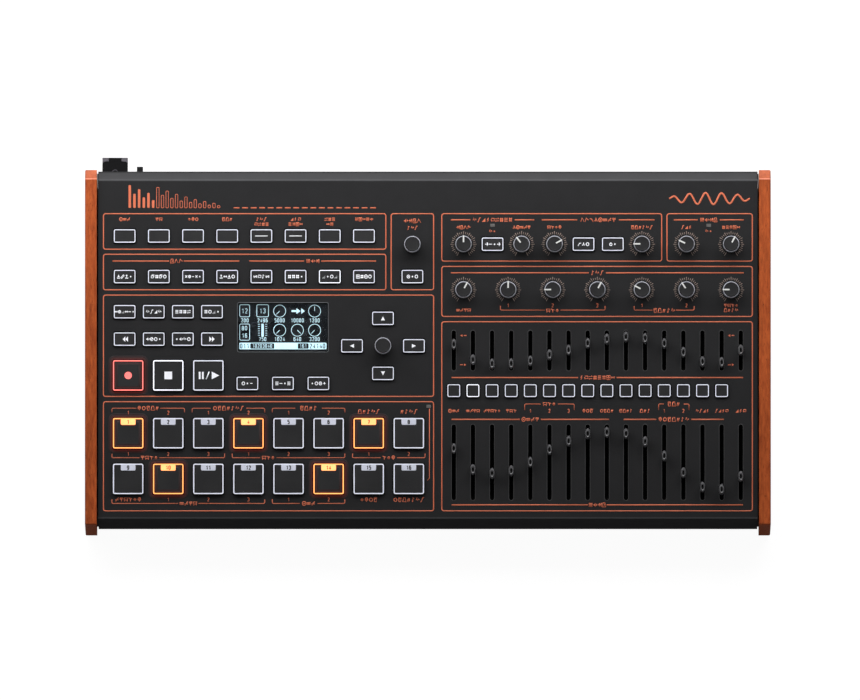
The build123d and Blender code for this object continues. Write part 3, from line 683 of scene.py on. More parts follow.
# ---------------------------------------------------------------- settings
class DrumColours(PropertyGroup):
    """Colours of the finishes"""

    paint: colour("Case paint", "Powder coat of the folded steel case", 40, 40, 41)
    print: colour("Panel print", "Frames, lines and signs printed on the panel", 210, 111, 79)
    scale: colour("Knob scales", "Tick marks round the knobs", 140, 123, 114)
    wood_light: colour("Wood, light", "Light fibres of the cheeks", 184, 91, 46)
    wood_dark: colour("Wood, dark", "Dark fibres of the cheeks", 142, 61, 29)
    # The pale wood colour is a painted highlight and sheen on the cheeks' rear bevel.
    wood_sheen: colour("Wood, rubbed", "Edge of the cheeks' rear bevel", 226, 142, 116)
    key: colour("Key face", "Dark faces of the keys and pads", 42, 42, 43)
    rim: colour("Key rim", "Light guide round a key that is off", 216, 219, 234)
    sign: colour("Key sign", "Signs printed on the keys", 225, 226, 232)
    knob: colour("Knob", "Moulded body of a knob", 40, 40, 41)
    knob_edge: colour("Knob edge", "Bright edge round a knob's top", 190, 192, 203)
    # The knob's edge colour is a painted highlight on the bevel round the knob's top.
    fader: colour("Fader cap", "Moulded cap of a fader", 92, 92, 94)
    pointer: colour("Pointer", "Line inlaid in a knob", 214, 214, 212)
    tray: colour("Tray paint", "Painted base tray", 46, 46, 47)
    zinc: colour("Zinc plate", "Fader levers and the retainer's ears", 172, 174, 178)
    nickel: colour("Nickel", "Nuts and pot collars", 190, 186, 178)
    rubber: colour("Rubber", "Feet under the case", 34, 34, 35)
    screen: colour("Display", "Dark ground of the display", 20, 23, 27)
    pixels: colour("Display signs", "Lit signs on the display", 185, 215, 225)


class DrumSizes(PropertyGroup):
    """Sizes of the modelled pieces"""

    side_margin: length("Side margin", "From the cover's side to a section's frame", 0.0035)
    front_margin: length("Front margin", "From the front bend to the lowest frame", 0.0059)
    section_gap: length("Section gap", "Between two frames in a column", 0.0031)
    column_gap: length("Column gap", "Between the two columns of frames", 0.0052)
    frame_line: length("Frame line", "Width of a section's frame", 0.00076)
    frame_corner: length("Frame corner", "Radius of a frame's corner", 0.0016)
    heading_line: length("Heading line", "Width of the line beside a heading", 0.00088)
    bracket_line: length("Bracket line", "Width of a bracket round several keys", 0.00052)
    bracket_leg: length("Bracket leg", "Length of a bracket's turned end", 0.003)
    sign_line: length("Sign line", "Stroke of the printed signs", 0.00062)
    heading_size: length("Heading size", "Height of a section's sign", 0.0029)
    legend_size: length("Legend size", "Height of the sign beside a key or knob", 0.0024)
    tick_start: length("Scale radius", "From a knob's middle to its scale", 0.0067)
    tick_length: length("Scale mark", "Length of a scale's long mark", 0.0028)
    tick_line: length("Scale line", "Width of a scale mark", 0.00042)
    key_proud: length("Key height", "Small keys above the panel", 0.0018)
    pad_proud: length("Pad height", "Pads above the panel", 0.0026)
    guide_narrow: length("Key rim", "Width of the light guide round a small key", 0.00064)
    guide_wide: length("Pad rim", "Width of the light guide round a pad", 0.00086)
    face_drop: length("Face drop", "Key face below its rim", 0.0003)
    knob_radius: length("Knob radius", "Knob at its foot", 0.0063)
    knob_top: length("Knob top", "Radius of a knob's top edge", 0.0058)
    knob_float: length("Knob gap", "Under a knob", 0.0008)
    knob_height: length("Knob height", "Knob from foot to top", 0.0109)
    pointer_width: length("Pointer width", "Line inlaid in a knob", 0.00106)
    cap_width: length("Cap width", "Fader cap at its foot", 0.0040)
    cap_length: length("Cap length", "Fader cap at its foot", 0.0081)
    cap_height: length("Cap height", "Fader cap from foot to top", 0.007)


def sizes():
    """The settings in metres."""
    return bpy.context.scene.drum_sizes


def rgb(name):
    """One of the colour settings as plain numbers."""
    return tuple(getattr(bpy.context.scene.drum_colours, name))


# ---------------------------------------------------------------- case
class DRUM_OT_case(Operator):
    """Powder-coated cover and rear panel, painted tray, plated fasteners and rubber feet"""

    bl_idname = "drum.case"
    bl_label = "Case"

    def execute(self, context):
        paint = finish("powder_coat", rgb("paint"), 0.68, grain=1500.0, depth=0.35, contrast=0.08, specular=0.05)
        # The cover's bends and rear bevel get painted highlights: the paint is made lighter where they catch
        # light.
        self.painted_fold_light(paint)
        repaint(paint, "top_cover", "rear_panel")
        repaint(finish("tray_paint", rgb("tray"), 0.6, grain=1100.0, depth=0.4, specular=0.2), "base_tray")
        repaint(finish("nickel_plate", rgb("nickel"), 0.28, grain=2500.0, metallic=1.0), "screws_and_nuts")
        repaint(finish("foot_rubber", rgb("rubber"), 0.8, grain=1200.0, depth=0.4, specular=0.3), "rubber_feet")
        return {"FINISHED"}

    def painted_fold_light(self, paint):
        """Painted highlights along the two bends of the cover, and a lighter painted tone on the bevel behind the
        panel, for the light that they catch.
        """
        low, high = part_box("top_cover")
        # Factors of the paint along Y: painted highlights on the front bend and the rear crest, and a lighter
        # painted tone on the rear bevel.
        painted_light_stops = (
            (low.y + 0.00003, 1.0),
            (low.y + 0.0001, 8.0),
            (low.y + 0.0006, 8.0),
            (low.y + 0.001, 3.0),
            (low.y + 0.0014, 1.0),
            (CREST + 0.0001, 1.0),
            (CREST + 0.0004, 3.8),
            (CREST + 0.0011, 3.8),
            (CREST + 0.0014, 2.6),
            (high.y - 0.0014, 2.4),
            (high.y - 0.0008, 1.0),
        )
        most = max(factor for _, factor in painted_light_stops)
        tree = paint.node_tree
        base = tree.nodes["Principled BSDF"].inputs["Base Color"]
        coords = add(tree, "TexCoord").outputs["Object"]
        stops = [(y, factor / most) for y, factor in painted_light_stops]
        level = along_y(tree, coords, low.y - 0.002, high.y + 0.002, stops)
        ends = {0: base.links[0].from_socket, 1: level}
        toned = add(tree, "VectorMath", ends, operation="MULTIPLY").outputs[0]
        feed(tree, tree.nodes["Principled BSDF"], {"Base Color": scaled(tree, toned, most)})


class DRUM_OT_cheeks(Operator):
    """Hardwood cheeks at the case's sides"""

    bl_idname = "drum.cheeks"
    bl_label = "Cheeks"

    def execute(self, context):
        tones = [rgb(name) for name in ("wood_light", "wood_dark", "wood_sheen")]
        repaint(wood("oiled_wood", *tones), "left_cheek", "right_cheek")
        return {"FINISHED"}


def lamp_spots():
    """Middles of the status lamps: the switch node's solids that reach up to the panel's face."""
    return [tuple((low + high)[:2] / 2) for low, high in solids("key_switches") if high[2] > -0.0001]


# ---------------------------------------------------------------- print
# From the middle of a line's last control to its end.
PAD_MARGIN = 0.0118
KEY_MARGIN = 0.0088
KNOB_MARGIN = 0.0092
FADER_MARGIN = 0.00165


def between(row, first, last):
    """The x halfway between two controls of a row."""
    return (row[first][0] + row[last][0]) / 2


def heading(row, first, last, margin, u, gap, middle=None):
    """A heading over part of a row: a line either side of the gap for its sign."""
    x0, x1 = row[first][0] - margin, row[last][0] + margin
    middle = (x0 + x1) / 2 if middle is None else middle
    return [([(x0, u), (middle - gap / 2, u)], False), ([(middle + gap / 2, u), (x1, u)], False)]


def bracket(row, first, last, margin, u, gap, leg, middle=None):
    """A heading with its ends turned by a leg, down (negative) or up."""
    corner = 0.0009
    left, right = heading(row, first, last, margin, u, gap, middle)
    x0, x1 = left[0][0][0], right[0][1][0]
    start, end = (180, 90) if leg < 0 else (180, 270)
    left_arc = arc((x0 + corner, u + math.copysign(corner, leg)), corner, start, end, 4)
    right_arc = [(x0 + x1 - x, y) for x, y in reversed(left_arc)]
    left_path = [(x0, u + leg), *left_arc, left[0][1]]
    right_path = [right[0][0], *right_arc, (x1, u + leg)]
    return [(left_path, False), (right_path, False)]


# Printed lines, each by a control of the row beside it and its place beyond that row.
LINES = {
    "mode_line": ("modes", 0, 0.0113),
    "synth_line": ("upper", 0, 0.0177),
    "tune_line": ("lower", 0, 0.0124),
    "knob_line": ("lower", 0, -0.0147),
    "voice_line": ("voices", 0, 0.0095),
    "set_line": ("voices", 0, -0.0097),
    "group_line": ("voices", 0, -0.0209),
    "level_line": ("voices", 0, -0.083),
    "far_line": ("pads", 0, 0.0182),
    "middle_line": ("pads", 0, -0.0178),
    "near_line": ("pads", 8, -0.0178),
}


def panel_layout():
    """Where the panel's sections, controls and lines are, all from the frame."""
    size = sizes()
    keys = spots("function_keys")
    voices = spots("voice_keys")
    low, high = solids("top_cover")[0]
    knobs = {name: spots(name, size.knob_radius)[0] for name in NODES if "knob" in name}
    place = {
        "functions": keys[:8],
        "modes": keys[8:16],
        "synth_keys": spots("synth_keys"),
        "voices": voices,
        "faders": [*voices, (2 * voices[-1][0] - voices[-2][0], voices[-1][1])],
        "pads": spots("drum_pads"),
        "upper": [knobs[f"upper_knob_{i}"] for i in range(1, 7)],
        "lower": [knobs[f"lower_knob_{i}"] for i in range(1, 8)],
        "tempo": knobs["tempo_knob"],
        "left": low[0] + size.side_margin,
        "right": high[0] - size.side_margin,
    }
    place.update({name: place[row][i][1] + rise for name, (row, i, rise) in LINES.items()})
    return SimpleNamespace(**place)


class DRUM_OT_panel_frames(Operator):
    """Printed frames round the panel's sections"""

    bl_idname = "drum.panel_frames"
    bl_label = "Panel Frames"

    key_front: length("Key row front", "From a key row's frame to its keys", 0.00998)
    key_height: length("Key row height", "Frame of a key row", 0.02657)
    transport_height: length("Transport height", "Frame of the transport section", 0.0744)
    tempo_side: length("Tempo side", "From the tempo knob to its frame's side", 0.0158)
    mixer_height: length("Mixer height", "Frame of the mixer", 0.1382)
    tune_height: length("Tune height", "Frame of the tuning knobs", 0.0371)
    volume_side: length("Volume side", "From the first volume knob to its frame's side", 0.0145)

    def execute(self, context):
        size = sizes()
        place = panel_layout()
        half = size.frame_line / 2
        gap = size.section_gap
        left, right = place.left, place.right
        left_end = place.tempo[0] + self.tempo_side
        right_start = left_end + size.column_gap
        tempo_start = place.tempo[0] - self.tempo_side
        volume_start = place.upper[4][0] - self.volume_side
        modes_low = place.modes[0][1] - self.key_front
        functions_low = place.functions[0][1] - self.key_front
        top = functions_low + self.key_height
        transport_low = modes_low - gap - self.transport_height
        tune_low = size.front_margin + self.mixer_height + gap
        synth_low = tune_low + self.tune_height + gap
        # Left, right, front and rear side.
        frames = [
            (left, left_end, size.front_margin, transport_low - gap),
            (left, left_end, transport_low, modes_low - gap),
            (left, tempo_start - gap, modes_low, modes_low + self.key_height),
            (left, tempo_start - gap, functions_low, top),
            (tempo_start, left_end, modes_low, top),
            (right_start, right, size.front_margin, size.front_margin + self.mixer_height),
            (right_start, right, tune_low, tune_low + self.tune_height),
            (right_start, volume_start - gap, synth_low, top),
            (volume_start, right, synth_low, top),
        ]
        paths = []
        for x0, x1, u0, u1 in frames:
            paths.append((rounded(x0 + half, x1 - half, u0 + half, u1 - half, size.frame_corner), True))
        ink = finish("panel_ink", rgb("print"), 0.5, grain=1800.0, depth=0.1, contrast=0.08, specular=0.3)
        dress(ribbon("section_frames", paths, size.frame_line, PANEL), ink)
        return {"FINISHED"}


class DRUM_OT_panel_lines(Operator):
    """Printed headings and brackets, open where their signs stand"""

    bl_idname = "drum.panel_lines"
    bl_label = "Panel Lines"

    def execute(self, context):
        size = sizes()
        place = panel_layout()
        modes, upper, lower, faders, pads = place.modes, place.upper, place.lower, place.faders, place.pads
        # Row, its first and last control, margin, place up the panel, gap for the sign, and its middle.
        headings = (
            (modes, 0, 3, KEY_MARGIN, place.mode_line, 0.0107, modes[2][0] - 0.0120),
            (modes, 4, 7, KEY_MARGIN, place.mode_line, 0.0125),
            (upper, 0, 1, KNOB_MARGIN, place.synth_line, 0.0322),
            (upper, 2, 3, KNOB_MARGIN, place.synth_line, 0.0304),
            (upper, 4, 5, KNOB_MARGIN, place.synth_line, 0.0162),
            (lower, 0, 6, KNOB_MARGIN, place.tune_line, 0.0125),
            (faders, 0, 15, FADER_MARGIN, place.voice_line, 0.028),
            (faders, 0, 8, FADER_MARGIN, place.group_line, 0.0154),
            (faders, 9, 14, FADER_MARGIN, place.group_line, 0.0254),
            (faders, 0, 15, FADER_MARGIN, place.level_line, 0.0137),
        )
        paths = [path for row in headings for path in heading(*row)]
        dress(ribbon("heading_lines", paths, size.heading_line, PANEL), "panel_ink")

        leg = size.bracket_leg
        # The same, with the ends' length before the middle.
        brackets = (
            (pads, 0, 1, PAD_MARGIN, place.far_line, 0.0174, -leg),
            (pads, 2, 3, PAD_MARGIN, place.far_line, 0.026, -leg),
            (pads, 4, 5, PAD_MARGIN, place.far_line, 0.0195, -leg),
            (pads, 0, 2, PAD_MARGIN, place.middle_line, 0.0142, leg, pads[0][0] + 0.0153),
            (pads, 3, 5, PAD_MARGIN, place.middle_line, 0.012, leg, pads[3][0] + 0.0145),
            (pads, 6, 7, PAD_MARGIN, place.middle_line, 0.012, leg),
            (pads, 0, 3, PAD_MARGIN, place.near_line, 0.0148, leg),
            (pads, 4, 5, PAD_MARGIN, place.near_line, 0.013, leg),
            (lower, 1, 3, 0.0056, place.knob_line, 0.0115, leg),
            (lower, 4, 5, 0.0056, place.knob_line, 0.017, leg),
            (faders, 4, 6, 0.0041, place.set_line, 0.0125, -0.0044),
            (faders, 11, 12, 0.0041, place.set_line, 0.0145, -0.0044),
        )
        bends = [path for row in brackets for path in bracket(*row)]
        lamp_x = min(lamp_spots(), key=lambda spot: spot[1])[0]
        far_u, near_u = pads[0][1], pads[8][1]
        lamp_line = [(0.0006, far_u + 0.0178), (0.0006, near_u + 0.0005), (-0.0009, near_u - 0.001)]
        bends.append(([(lamp_x + x, u) for x, u in lamp_line], False))
        dress(ribbon("bracket_lines", bends, size.bracket_line, PANEL), "panel_ink")
        return {"FINISHED"}


class DRUM_OT_panel_signs(Operator):
    """Printed signs and numbers beside the keys, knobs and pads"""

    bl_idname = "drum.panel_signs"
    bl_label = "Panel Signs"

    def execute(self, context):
        size = sizes()
        place = panel_layout()
        heights = size.heading_size, size.legend_size
        marks = []
        for made in (self.key_marks, self.knob_marks, self.voice_marks, self.pad_marks):
            marks += made(place, *heights)
        dress(signs("panel_signs", marks, size.sign_line, PANEL), "panel_ink")
        return {"FINISHED"}

    def key_marks(self, place, big, small):
        """Signs of the function keys, the mode keys and the tempo knob."""
        marks = []
        high, low = 0.0122, 0.0086  # a key's two rows of signs
        for i, ((x, u), count) in enumerate(zip(place.functions, (3, 2, 3, 3, 3, 3, 3, 5))):
            marks.append((run(3 * i, count), x, u + high, small))
            if i in (4, 5, 6):
                marks.append((run(3 * i + 5, 4 if i < 6 else 2), x, u + low, small))
        tempo_x, tempo_u = place.tempo
        return marks + [
            (run(27, 3), place.modes[2][0] - 0.0120, place.mode_line, big),
            (run(24, 3), between(place.modes, 4, 7), place.mode_line, big),
            (run(25, 4), tempo_x, tempo_u + 0.0172, big),
            (run(12, 3), tempo_x, tempo_u + 0.0121, small),
        ]

    def knob_marks(self, place, big, small):
        """Signs of the pointer knobs and of what they change."""
        upper, lower = place.upper, place.lower
        marks = []
        for i, ((x, u), count) in enumerate(zip(upper, (4, 5, 4, 6, 3, 5))):
            marks.append((run(5 * i + 26, count), x, u + 0.0123, small))
        marks += [(name, x, place.knob_line + 0.0034, small) for name, (x, _) in zip("12312", lower[1:])]
        return marks + [
            (run(13, 9), between(upper, 0, 1), place.synth_line, big),
            (run(28, 8), between(upper, 2, 3), place.synth_line, big),
            (run(24, 4), between(upper, 4, 5), place.synth_line, big),
            ("wave dot", place.synth_keys[0][0], upper[0][1] + 0.0094, small),
            ("wave dot", between(upper, 4, 5), upper[0][1] + 0.0094, small),
            (run(12, 3), between(lower, 0, 6), place.tune_line, big),
            (run(1, 4), lower[0][0], place.knob_line, small),
            (run(4, 3), lower[2][0], place.knob_line - 0.0003, big),
            (run(9, 5), between(lower, 4, 5), place.knob_line - 0.0003, big),
            (run(3, 4), lower[6][0], place.knob_line + 0.0034, small),
            (run(10, 4), lower[6][0], place.knob_line, small),
        ]

    def voice_marks(self, place, big, small):
        """Signs under the voice keys and in the mixer's headings."""
        faders = place.faders
        voice_u = place.voices[0][1]
        counts = (3, 4, 5, 3, 0, 0, 0, 3, 4, 4, 3, 0, 0, 4, 4, 3)
        numbers = {4: "1", 5: "2", 6: "3", 11: "1", 12: "2"}
        marks = []
        for i, ((x, _), count) in enumerate(zip(faders, counts)):
            height = small * (0.94 if count > 3 else 1)
            marks.append((numbers.get(i) or run(i, count), x, voice_u - 0.0147, height))
        for i in (0, 14):
            marks.append(("left dash", faders[i][0] + 0.0069, voice_u + 0.0401, small))
            marks.append(("dash forward", faders[i][0] + 0.0069, voice_u + 0.0188, small))
        return marks + [
            (run(16, 8), between(faders, 0, 15), place.voice_line, big),
            (run(0, 4), between(faders, 0, 8), place.group_line, big),
            (run(7, 7), between(faders, 9, 14), place.group_line, big),
            (run(24, 4), between(faders, 0, 15), place.level_line, big),
            (run(4, 3), faders[5][0], place.set_line, big),
            (run(9, 3), between(faders, 11, 12), place.set_line, big),
        ]

    def pad_marks(self, place, big, small):
        """Signs of the pads: numbers within a set, and the set's own sign in its bracket's gap."""
        pads = place.pads
        far_u, near_u = pads[0][1], pads[8][1]
        rows = (("121212", 0, far_u + 0.0149), ("12312312", 0, far_u - 0.0151), ("12312", 1, near_u - 0.0149))
        marks = [(name, x, u, small) for names, start, u in rows for name, (x, _) in zip(names, pads[start:])]
        return marks + [
            (run(10, 5), pads[6][0], far_u + 0.0157, big),
            (run(11, 4), pads[7][0], far_u + 0.0157, big),
            (run(7, 5), between(pads, 0, 1), place.far_line, big),
            (run(8, 7), between(pads, 2, 3), place.far_line, big),
            (run(9, 4), between(pads, 4, 5), place.far_line, big),
            (run(3, 4), pads[0][0] + 0.0153, place.middle_line, big),
            (run(4, 3), pads[3][0] + 0.0145, place.middle_line, big),
            (run(5, 3), between(pads, 6, 7), place.middle_line, big),
            (run(2, 6), pads[0][0], near_u - 0.0149, big),
            (run(1, 4), between(pads, 0, 3), place.near_line, big),
            (run(0, 3), between(pads, 4, 5), place.near_line, big),
            (run(6, 4), pads[6][0], near_u - 0.0151, big),
            (run(8, 7), pads[7][0], near_u - 0.0151, big),
        ]


class DRUM_OT_panel_ornaments(Operator):
    """A row of sound bars, a broken line and a wave, printed above the sections"""

    bl_idname = "drum.panel_ornaments"
    bl_label = "Panel Ornaments"

    bars_start: length("Bars start", "From the left frame to the first bar", 0.0195)
    bars_pitch: length("Bar pitch", "Between two bars", 0.0034)
    bar_height: length("Bar height", "The tallest bar", 0.0165)
    wave_length: length("Wave length", "The printed wave from end to end", 0.0585)
    wave_height: length("Wave height", "The printed wave from trough to crest", 0.0085)

    def execute(self, context):
        place = panel_layout()
        base_u = place.functions[0][1] + 0.0205
        shares = "100 62 82 46 66 34 90 56 74 42 60 30 48 24 36 18 28 12 20 10".split()
        start = place.left + self.bars_start
        solid, hollow = [], []
        for i, share in enumerate(shares):
            x = start + i * self.bars_pitch
            top = base_u + self.bar_height * int(share) / 100
            outline = rounded(x - 0.0009, x + 0.0009, base_u, top, 0.0006)
            (solid if i < 6 else hollow).append((outline, True))
        dress(ribbon("sound_bars", solid, 0, PANEL, filled=True), "panel_ink")
        dress(ribbon("sound_bar_outlines", hollow, 0.0004, PANEL), "panel_ink")
        dashes = [start + 0.0755 + 0.0062 * i for i in range(17)]
        tail = [([(x, base_u), (x + 0.0042, base_u)], False) for x in dashes]
        dress(ribbon("beat_line", tail, 0.0009, PANEL), "panel_ink")
        end = place.right - 0.0022
        middle_u = base_u + 0.0067
        wave = []
        for i in range(97):
            share = i / 96
            swell = self.wave_height / 2 * math.sin(math.pi * share) ** 0.5
            u = middle_u + swell * math.sin(10 * math.pi * share)
            wave.append((end - self.wave_length * (1 - share), u))
        dress(ribbon("wave_line", [(wave, False)], 0.0013, PANEL), "panel_ink")
        return {"FINISHED"}


# ---------------------------------------------------------------- knobs
class DRUM_OT_scales(Operator):
    """Printed scales round the pointer knobs"""

    bl_idname = "drum.scales"
    bl_label = "Knob Scales"

    def execute(self, context):
        size = sizes()
        place = panel_layout()
        ticks = []
        for x, u in [*place.upper, *place.lower]:
            for step in range(-15, 16):
                turn = math.radians(10 * step)
                start = size.tick_start + (0 if step % 3 == 0 else 0.2 * size.tick_length)
                ends = [start, size.tick_start + size.tick_length * (1 if step % 3 == 0 else 0.78)]
                ticks.append(([(x + r * math.sin(turn), u + r * math.cos(turn)) for r in ends], False))
        ink = finish("scale_ink", rgb("scale"), 0.5, grain=1800.0, depth=0.1, specular=0.3)
        dress(ribbon("knob_scales", ticks, size.tick_line, PANEL), ink)
        return {"FINISHED"}


class DRUM_OT_knobs(Operator):
    """Fluted knobs with a light grey top edge that is a painted highlight, and on the pointer knobs a white line
    """

    bl_idname = "drum.knobs"
    bl_label = "Knobs"

    flute_depth: length("Flute depth", "Grooves down a knob's side", 0.00016)
    skirt: length("Skirt", "Plain band at a knob's foot", 0.0012)
    dish: length("Dish", "Hollow of a knob's top", 0.00018)
    edge_width: length("Edge width", "Bright edge round a knob's top", 0.0004)
    groove: length("Edge groove", "Dark groove inside the bright edge", 0.0004)

    def body(self, name):
        """A turned knob with a shaft, a plain skirt, a fluted side and a dished top inside a groove."""
        size = sizes()
        foot, top = size.knob_float, size.knob_float + size.knob_height
        inner = size.knob_top - self.edge_width
        disc = inner - self.groove
        profile = [
            (0.003, -0.007),
            (0.003, foot),
            (size.knob_radius - 0.0002, foot),
            (size.knob_radius, foot + 0.0002),
            (size.knob_radius, foot + self.skirt),
            (size.knob_radius - 0.0002, foot + self.skirt + 0.0002),
            (size.knob_top, top - self.edge_width - 0.0002),
            (inner, top - self.edge_width - 0.0002),
            (disc, top - self.edge_width - 0.00015),
            (disc, top - 0.00015),
            (disc - 0.00015, top),
            (disc - 0.0008, top),
            (disc - 0.001, top - self.dish),
            (0.0005, top - 1.6 * self.dish),
        ]
        sides = 96
        piece = turned(name, profile, sides=sides)
        pick(piece)
        bpy.ops.object.mode_set(mode="EDIT")
        bpy.ops.mesh.select_all(action="DESELECT")
        bpy.ops.object.mode_set(mode="OBJECT")
        for vertex in piece.data.vertices:
            column = round(math.atan2(vertex.co.y, vertex.co.x) / math.tau * sides)
            on_side = foot + self.skirt < vertex.co.z < top - self.edge_width
            is_outer = vertex.co.xy.length > disc + 0.0004
            vertex.select = on_side and is_outer and column % 2 == 0
        bpy.ops.object.mode_set(mode="EDIT")
        bpy.ops.mesh.select_mode(type="VERT")
        share = 1 - self.flute_depth / size.knob_radius
        bpy.ops.transform.resize(value=(share, share, 1), center_override=(0, 0, 0))
        return close(piece, smooth=50)

    def edge(self, name):
        """The painted highlight round a knob's top: a rounded, glossy lip over the fluted side, light grey for
        the light that its bevel catches.
        """
        size = sizes()
        top = size.knob_float + size.knob_height
        outer, inner = size.knob_top + 0.00004, size.knob_top - self.edge_width
        profile = [
            (outer - 0.0002, top - 0.0011),
            (outer, top - 0.0009),
            (outer, top - 0.00042),
            (outer - 0.0003, top - 0.00006),
            (outer - 0.00038, top - 0.00006),
            (inner, top - 0.0009),
        ]
        return turned(name, profile, sides=96)

    def line(self, name):
        """The white line, inlaid from near the middle to the bright edge."""
        size = sizes()
        top = size.knob_float + size.knob_height
        start, end = 0.0012, size.knob_top + 0.0004
        strip = slab(name, (size.pointer_width, end - start), 0, [(0, 0.0005)], top - 0.00042, edge=0.00005)
        strip.data.transform(Matrix.Translation((0, (start + end) / 2, 0)))
        return strip

    def execute(self, context):
        size = sizes()
        plastic = finish("knob_plastic", rgb("knob"), 0.42, grain=1600.0, depth=0.12, contrast=0.08, specular=0.2)
        # The edge's light grey stands in for light caught by the knob's glossy bevel: a painted highlight on
        # plastic, not metal.
        metal = rgb("knob_edge")
        bright = finish("knob_edge", metal, 0.24, grain=2000.0, depth=0.04, contrast=0.05, specular=0.6)
        white = finish("pointer_white", rgb("pointer"), 0.45, grain=2000.0, depth=0.05, contrast=0.04)
        whole = self.body("knob_body")
        edge = self.edge("knob_edge")
        line = self.line("pointer_line")
        for name in [node for node in NODES if "knob" in node]:
            x, u = spots(name, size.knob_radius)[0]
            where = [at(PANEL, x, u, 0, knob_turn(name))]
            body = spread(whole, where, f"{name}_body", keep=True)
            dress(body, plastic, name, [name])
            dress(spread(edge, where, f"{name}_edge", keep=True), bright, name)
            if not JOINTS[name].get("continuous"):
                dress(spread(line, where, f"{name}_line", keep=True), white, name)
        for master in (whole, edge, line):
            bpy.data.objects.remove(master)
        return {"FINISHED"}


# ---------------------------------------------------------------- faders
CAP_FOOT = 0.0006  # gap between the panel and a fader's cap
CAP_HOLLOW = 0.76  # floor of the cap's hollow, as a share of its height


class DRUM_OT_faders(Operator):
    """Slim oval fader caps on steel levers"""

    bl_idname = "drum.faders"
    bl_label = "Faders"

    lever_low: length("Lever foot", "Lowest point of a lever, from the panel", -0.0053)
    lever_top: length("Lever top", "Highest point of a lever, inside its cap", 0.0052)
    slot_width: length("Slot width", "Opening that a lever slides in", 0.0026)
    long_slot: length("Long slot", "Slot of a level fader", 0.0545)
    short_slot: length("Short slot", "Slot of a pan fader", 0.0287)
    slot_edge: length("Slot edge", "Width of each line round a slot", 0.0003)

    def cap(self, name):
        """An oval cap that narrows upwards to a rounded crest round a small hollow."""
        size = sizes()
        half = size.cap_length / 2
        # Share of the half length, share of the height.
        shares = (
            (1.0, 0.0),
            (1.0, 0.12),
            (0.94, 0.5),
            (0.84, 0.8),
            (0.74, 0.94),
            (0.62, 1.0),
            (0.5, 0.97),
            (0.42, 0.86),
            (0.38, CAP_HOLLOW),
        )
        profile = [(half * reach, CAP_FOOT + size.cap_height * rise) for reach, rise in shares]
        return turned(name, profile, across=size.cap_width / size.cap_length)

    def edges(self):
        """A dark line round each slot, painted shade at its edge, and round that a line a little lighter than the
        paint, a painted highlight.
        """
        voice_u = spots("voice_keys")[0][1]
        # Near-black painted shade at the slot's edge, and a lighter copy of the case paint as a painted highlight
        # round it.
        edge = finish("slot_edge", srgb(6, 6, 6), 0.7, grain=1800.0, specular=0.05)
        ring = finish("slot_ring", shade(rgb("paint"), 1.35)[:3], 0.6, grain=1800.0)
        tones = (("slot_edges", self.slot_edge / 2, edge), ("slot_rings", self.slot_edge * 1.6, ring))
        for name, outset, tone in tones:
            outlines = []
            for x, u in spots("slide_pots"):
                half = self.slot_width / 2 + outset
                tall = (self.long_slot if u < voice_u else self.short_slot) / 2 + outset
                outlines.append((rounded(x - half, x + half, u - tall, u + tall, half - 0.00001), True))
            dress(ribbon(name, outlines, self.slot_edge, PANEL), tone)

    def execute(self, context):
        self.edges()
        plastic = finish("fader_plastic", rgb("fader"), 0.26, grain=1600.0, depth=0.06, contrast=0.06)
        # The near-black piece in each cap's hollow is painted shade, where the hollow is in shadow.
        well = finish("fader_well", srgb(12, 12, 12), 0.6, grain=1600.0, depth=0.1, specular=0.1)
        steel = brushed("lever_steel", rgb("zinc"), 0.35)
        for name in [node for node in NODES if "fader" in node]:
            places = [at(PANEL, x, u) for x, u in spots(name, 0.003)]
            cap = spread(self.cap("cap"), places, f"{name}_cap")
            dress(cap, plastic, name, [name])
            lever = slab("lever", (0.0012, 0.004), 0, [(0, self.lever_top - self.lever_low)], self.lever_low)
            dress(spread(lever, places, f"{name}_lever"), steel, name)
            floor = CAP_FOOT + CAP_HOLLOW * sizes().cap_height
            seat = turned("well", [(0.0016, floor - 0.0003), (0.0016, floor + 0.0006)], sides=32, across=0.5)
            dress(spread(seat, places, f"{name}_well"), well, name)
        return {"FINISHED"}


# ---------------------------------------------------------------- keys
KEY_BASE = -0.0037  # foot of the boss under a key
BOSS_RADIUS, BOSS_HEIGHT = 0.002, 0.001
KEY_PLAY = 0.00035  # gap between a key and its opening
KEY_LIP = 0.0009  # flange under the panel, beyond the opening
GROOVE = 0.0005  # between the light guide and the face
OPENING_SHADOW = 0.00022  # width of the painted shadow round an opening
GUIDE_DEPTH = 0.0006  # from a light guide's top to the body that it stands on
GUIDE_FOOT = GUIDE_DEPTH + 0.0003  # and to its foot inside the body
KEY_INK = 0.00004  # middle of the ink above a key's face


def key_body(name, size, corner, proud):
    """A key's dark body: the boss and flange under the panel, up to the seat of its light guide."""
    flange = KEY_BASE + BOSS_HEIGHT
    wide = (size[0] + 2 * KEY_LIP, size[1] + 2 * KEY_LIP)
    steps = [(0, KEY_LIP), (KEY_LIP, proud - GUIDE_DEPTH - flange - KEY_LIP)]
    body = slab(name, wide, corner + KEY_LIP, steps, flange, edge=0.00012, smooth=40)
    boss = turned("boss", [(BOSS_RADIUS, KEY_BASE), (BOSS_RADIUS, flange)], sides=24)
    return join(body, boss)


def key_guide(name, guide, corner, width, proud):
    """The light guide: a ring that stands on the body's top."""
    steps = [(0, GUIDE_FOOT), (width, -GUIDE_DEPTH - 0.0002)]
    return slab(name, guide, corner, steps, proud - GUIDE_FOOT, edge=0.00012, bends=6, smooth=40)


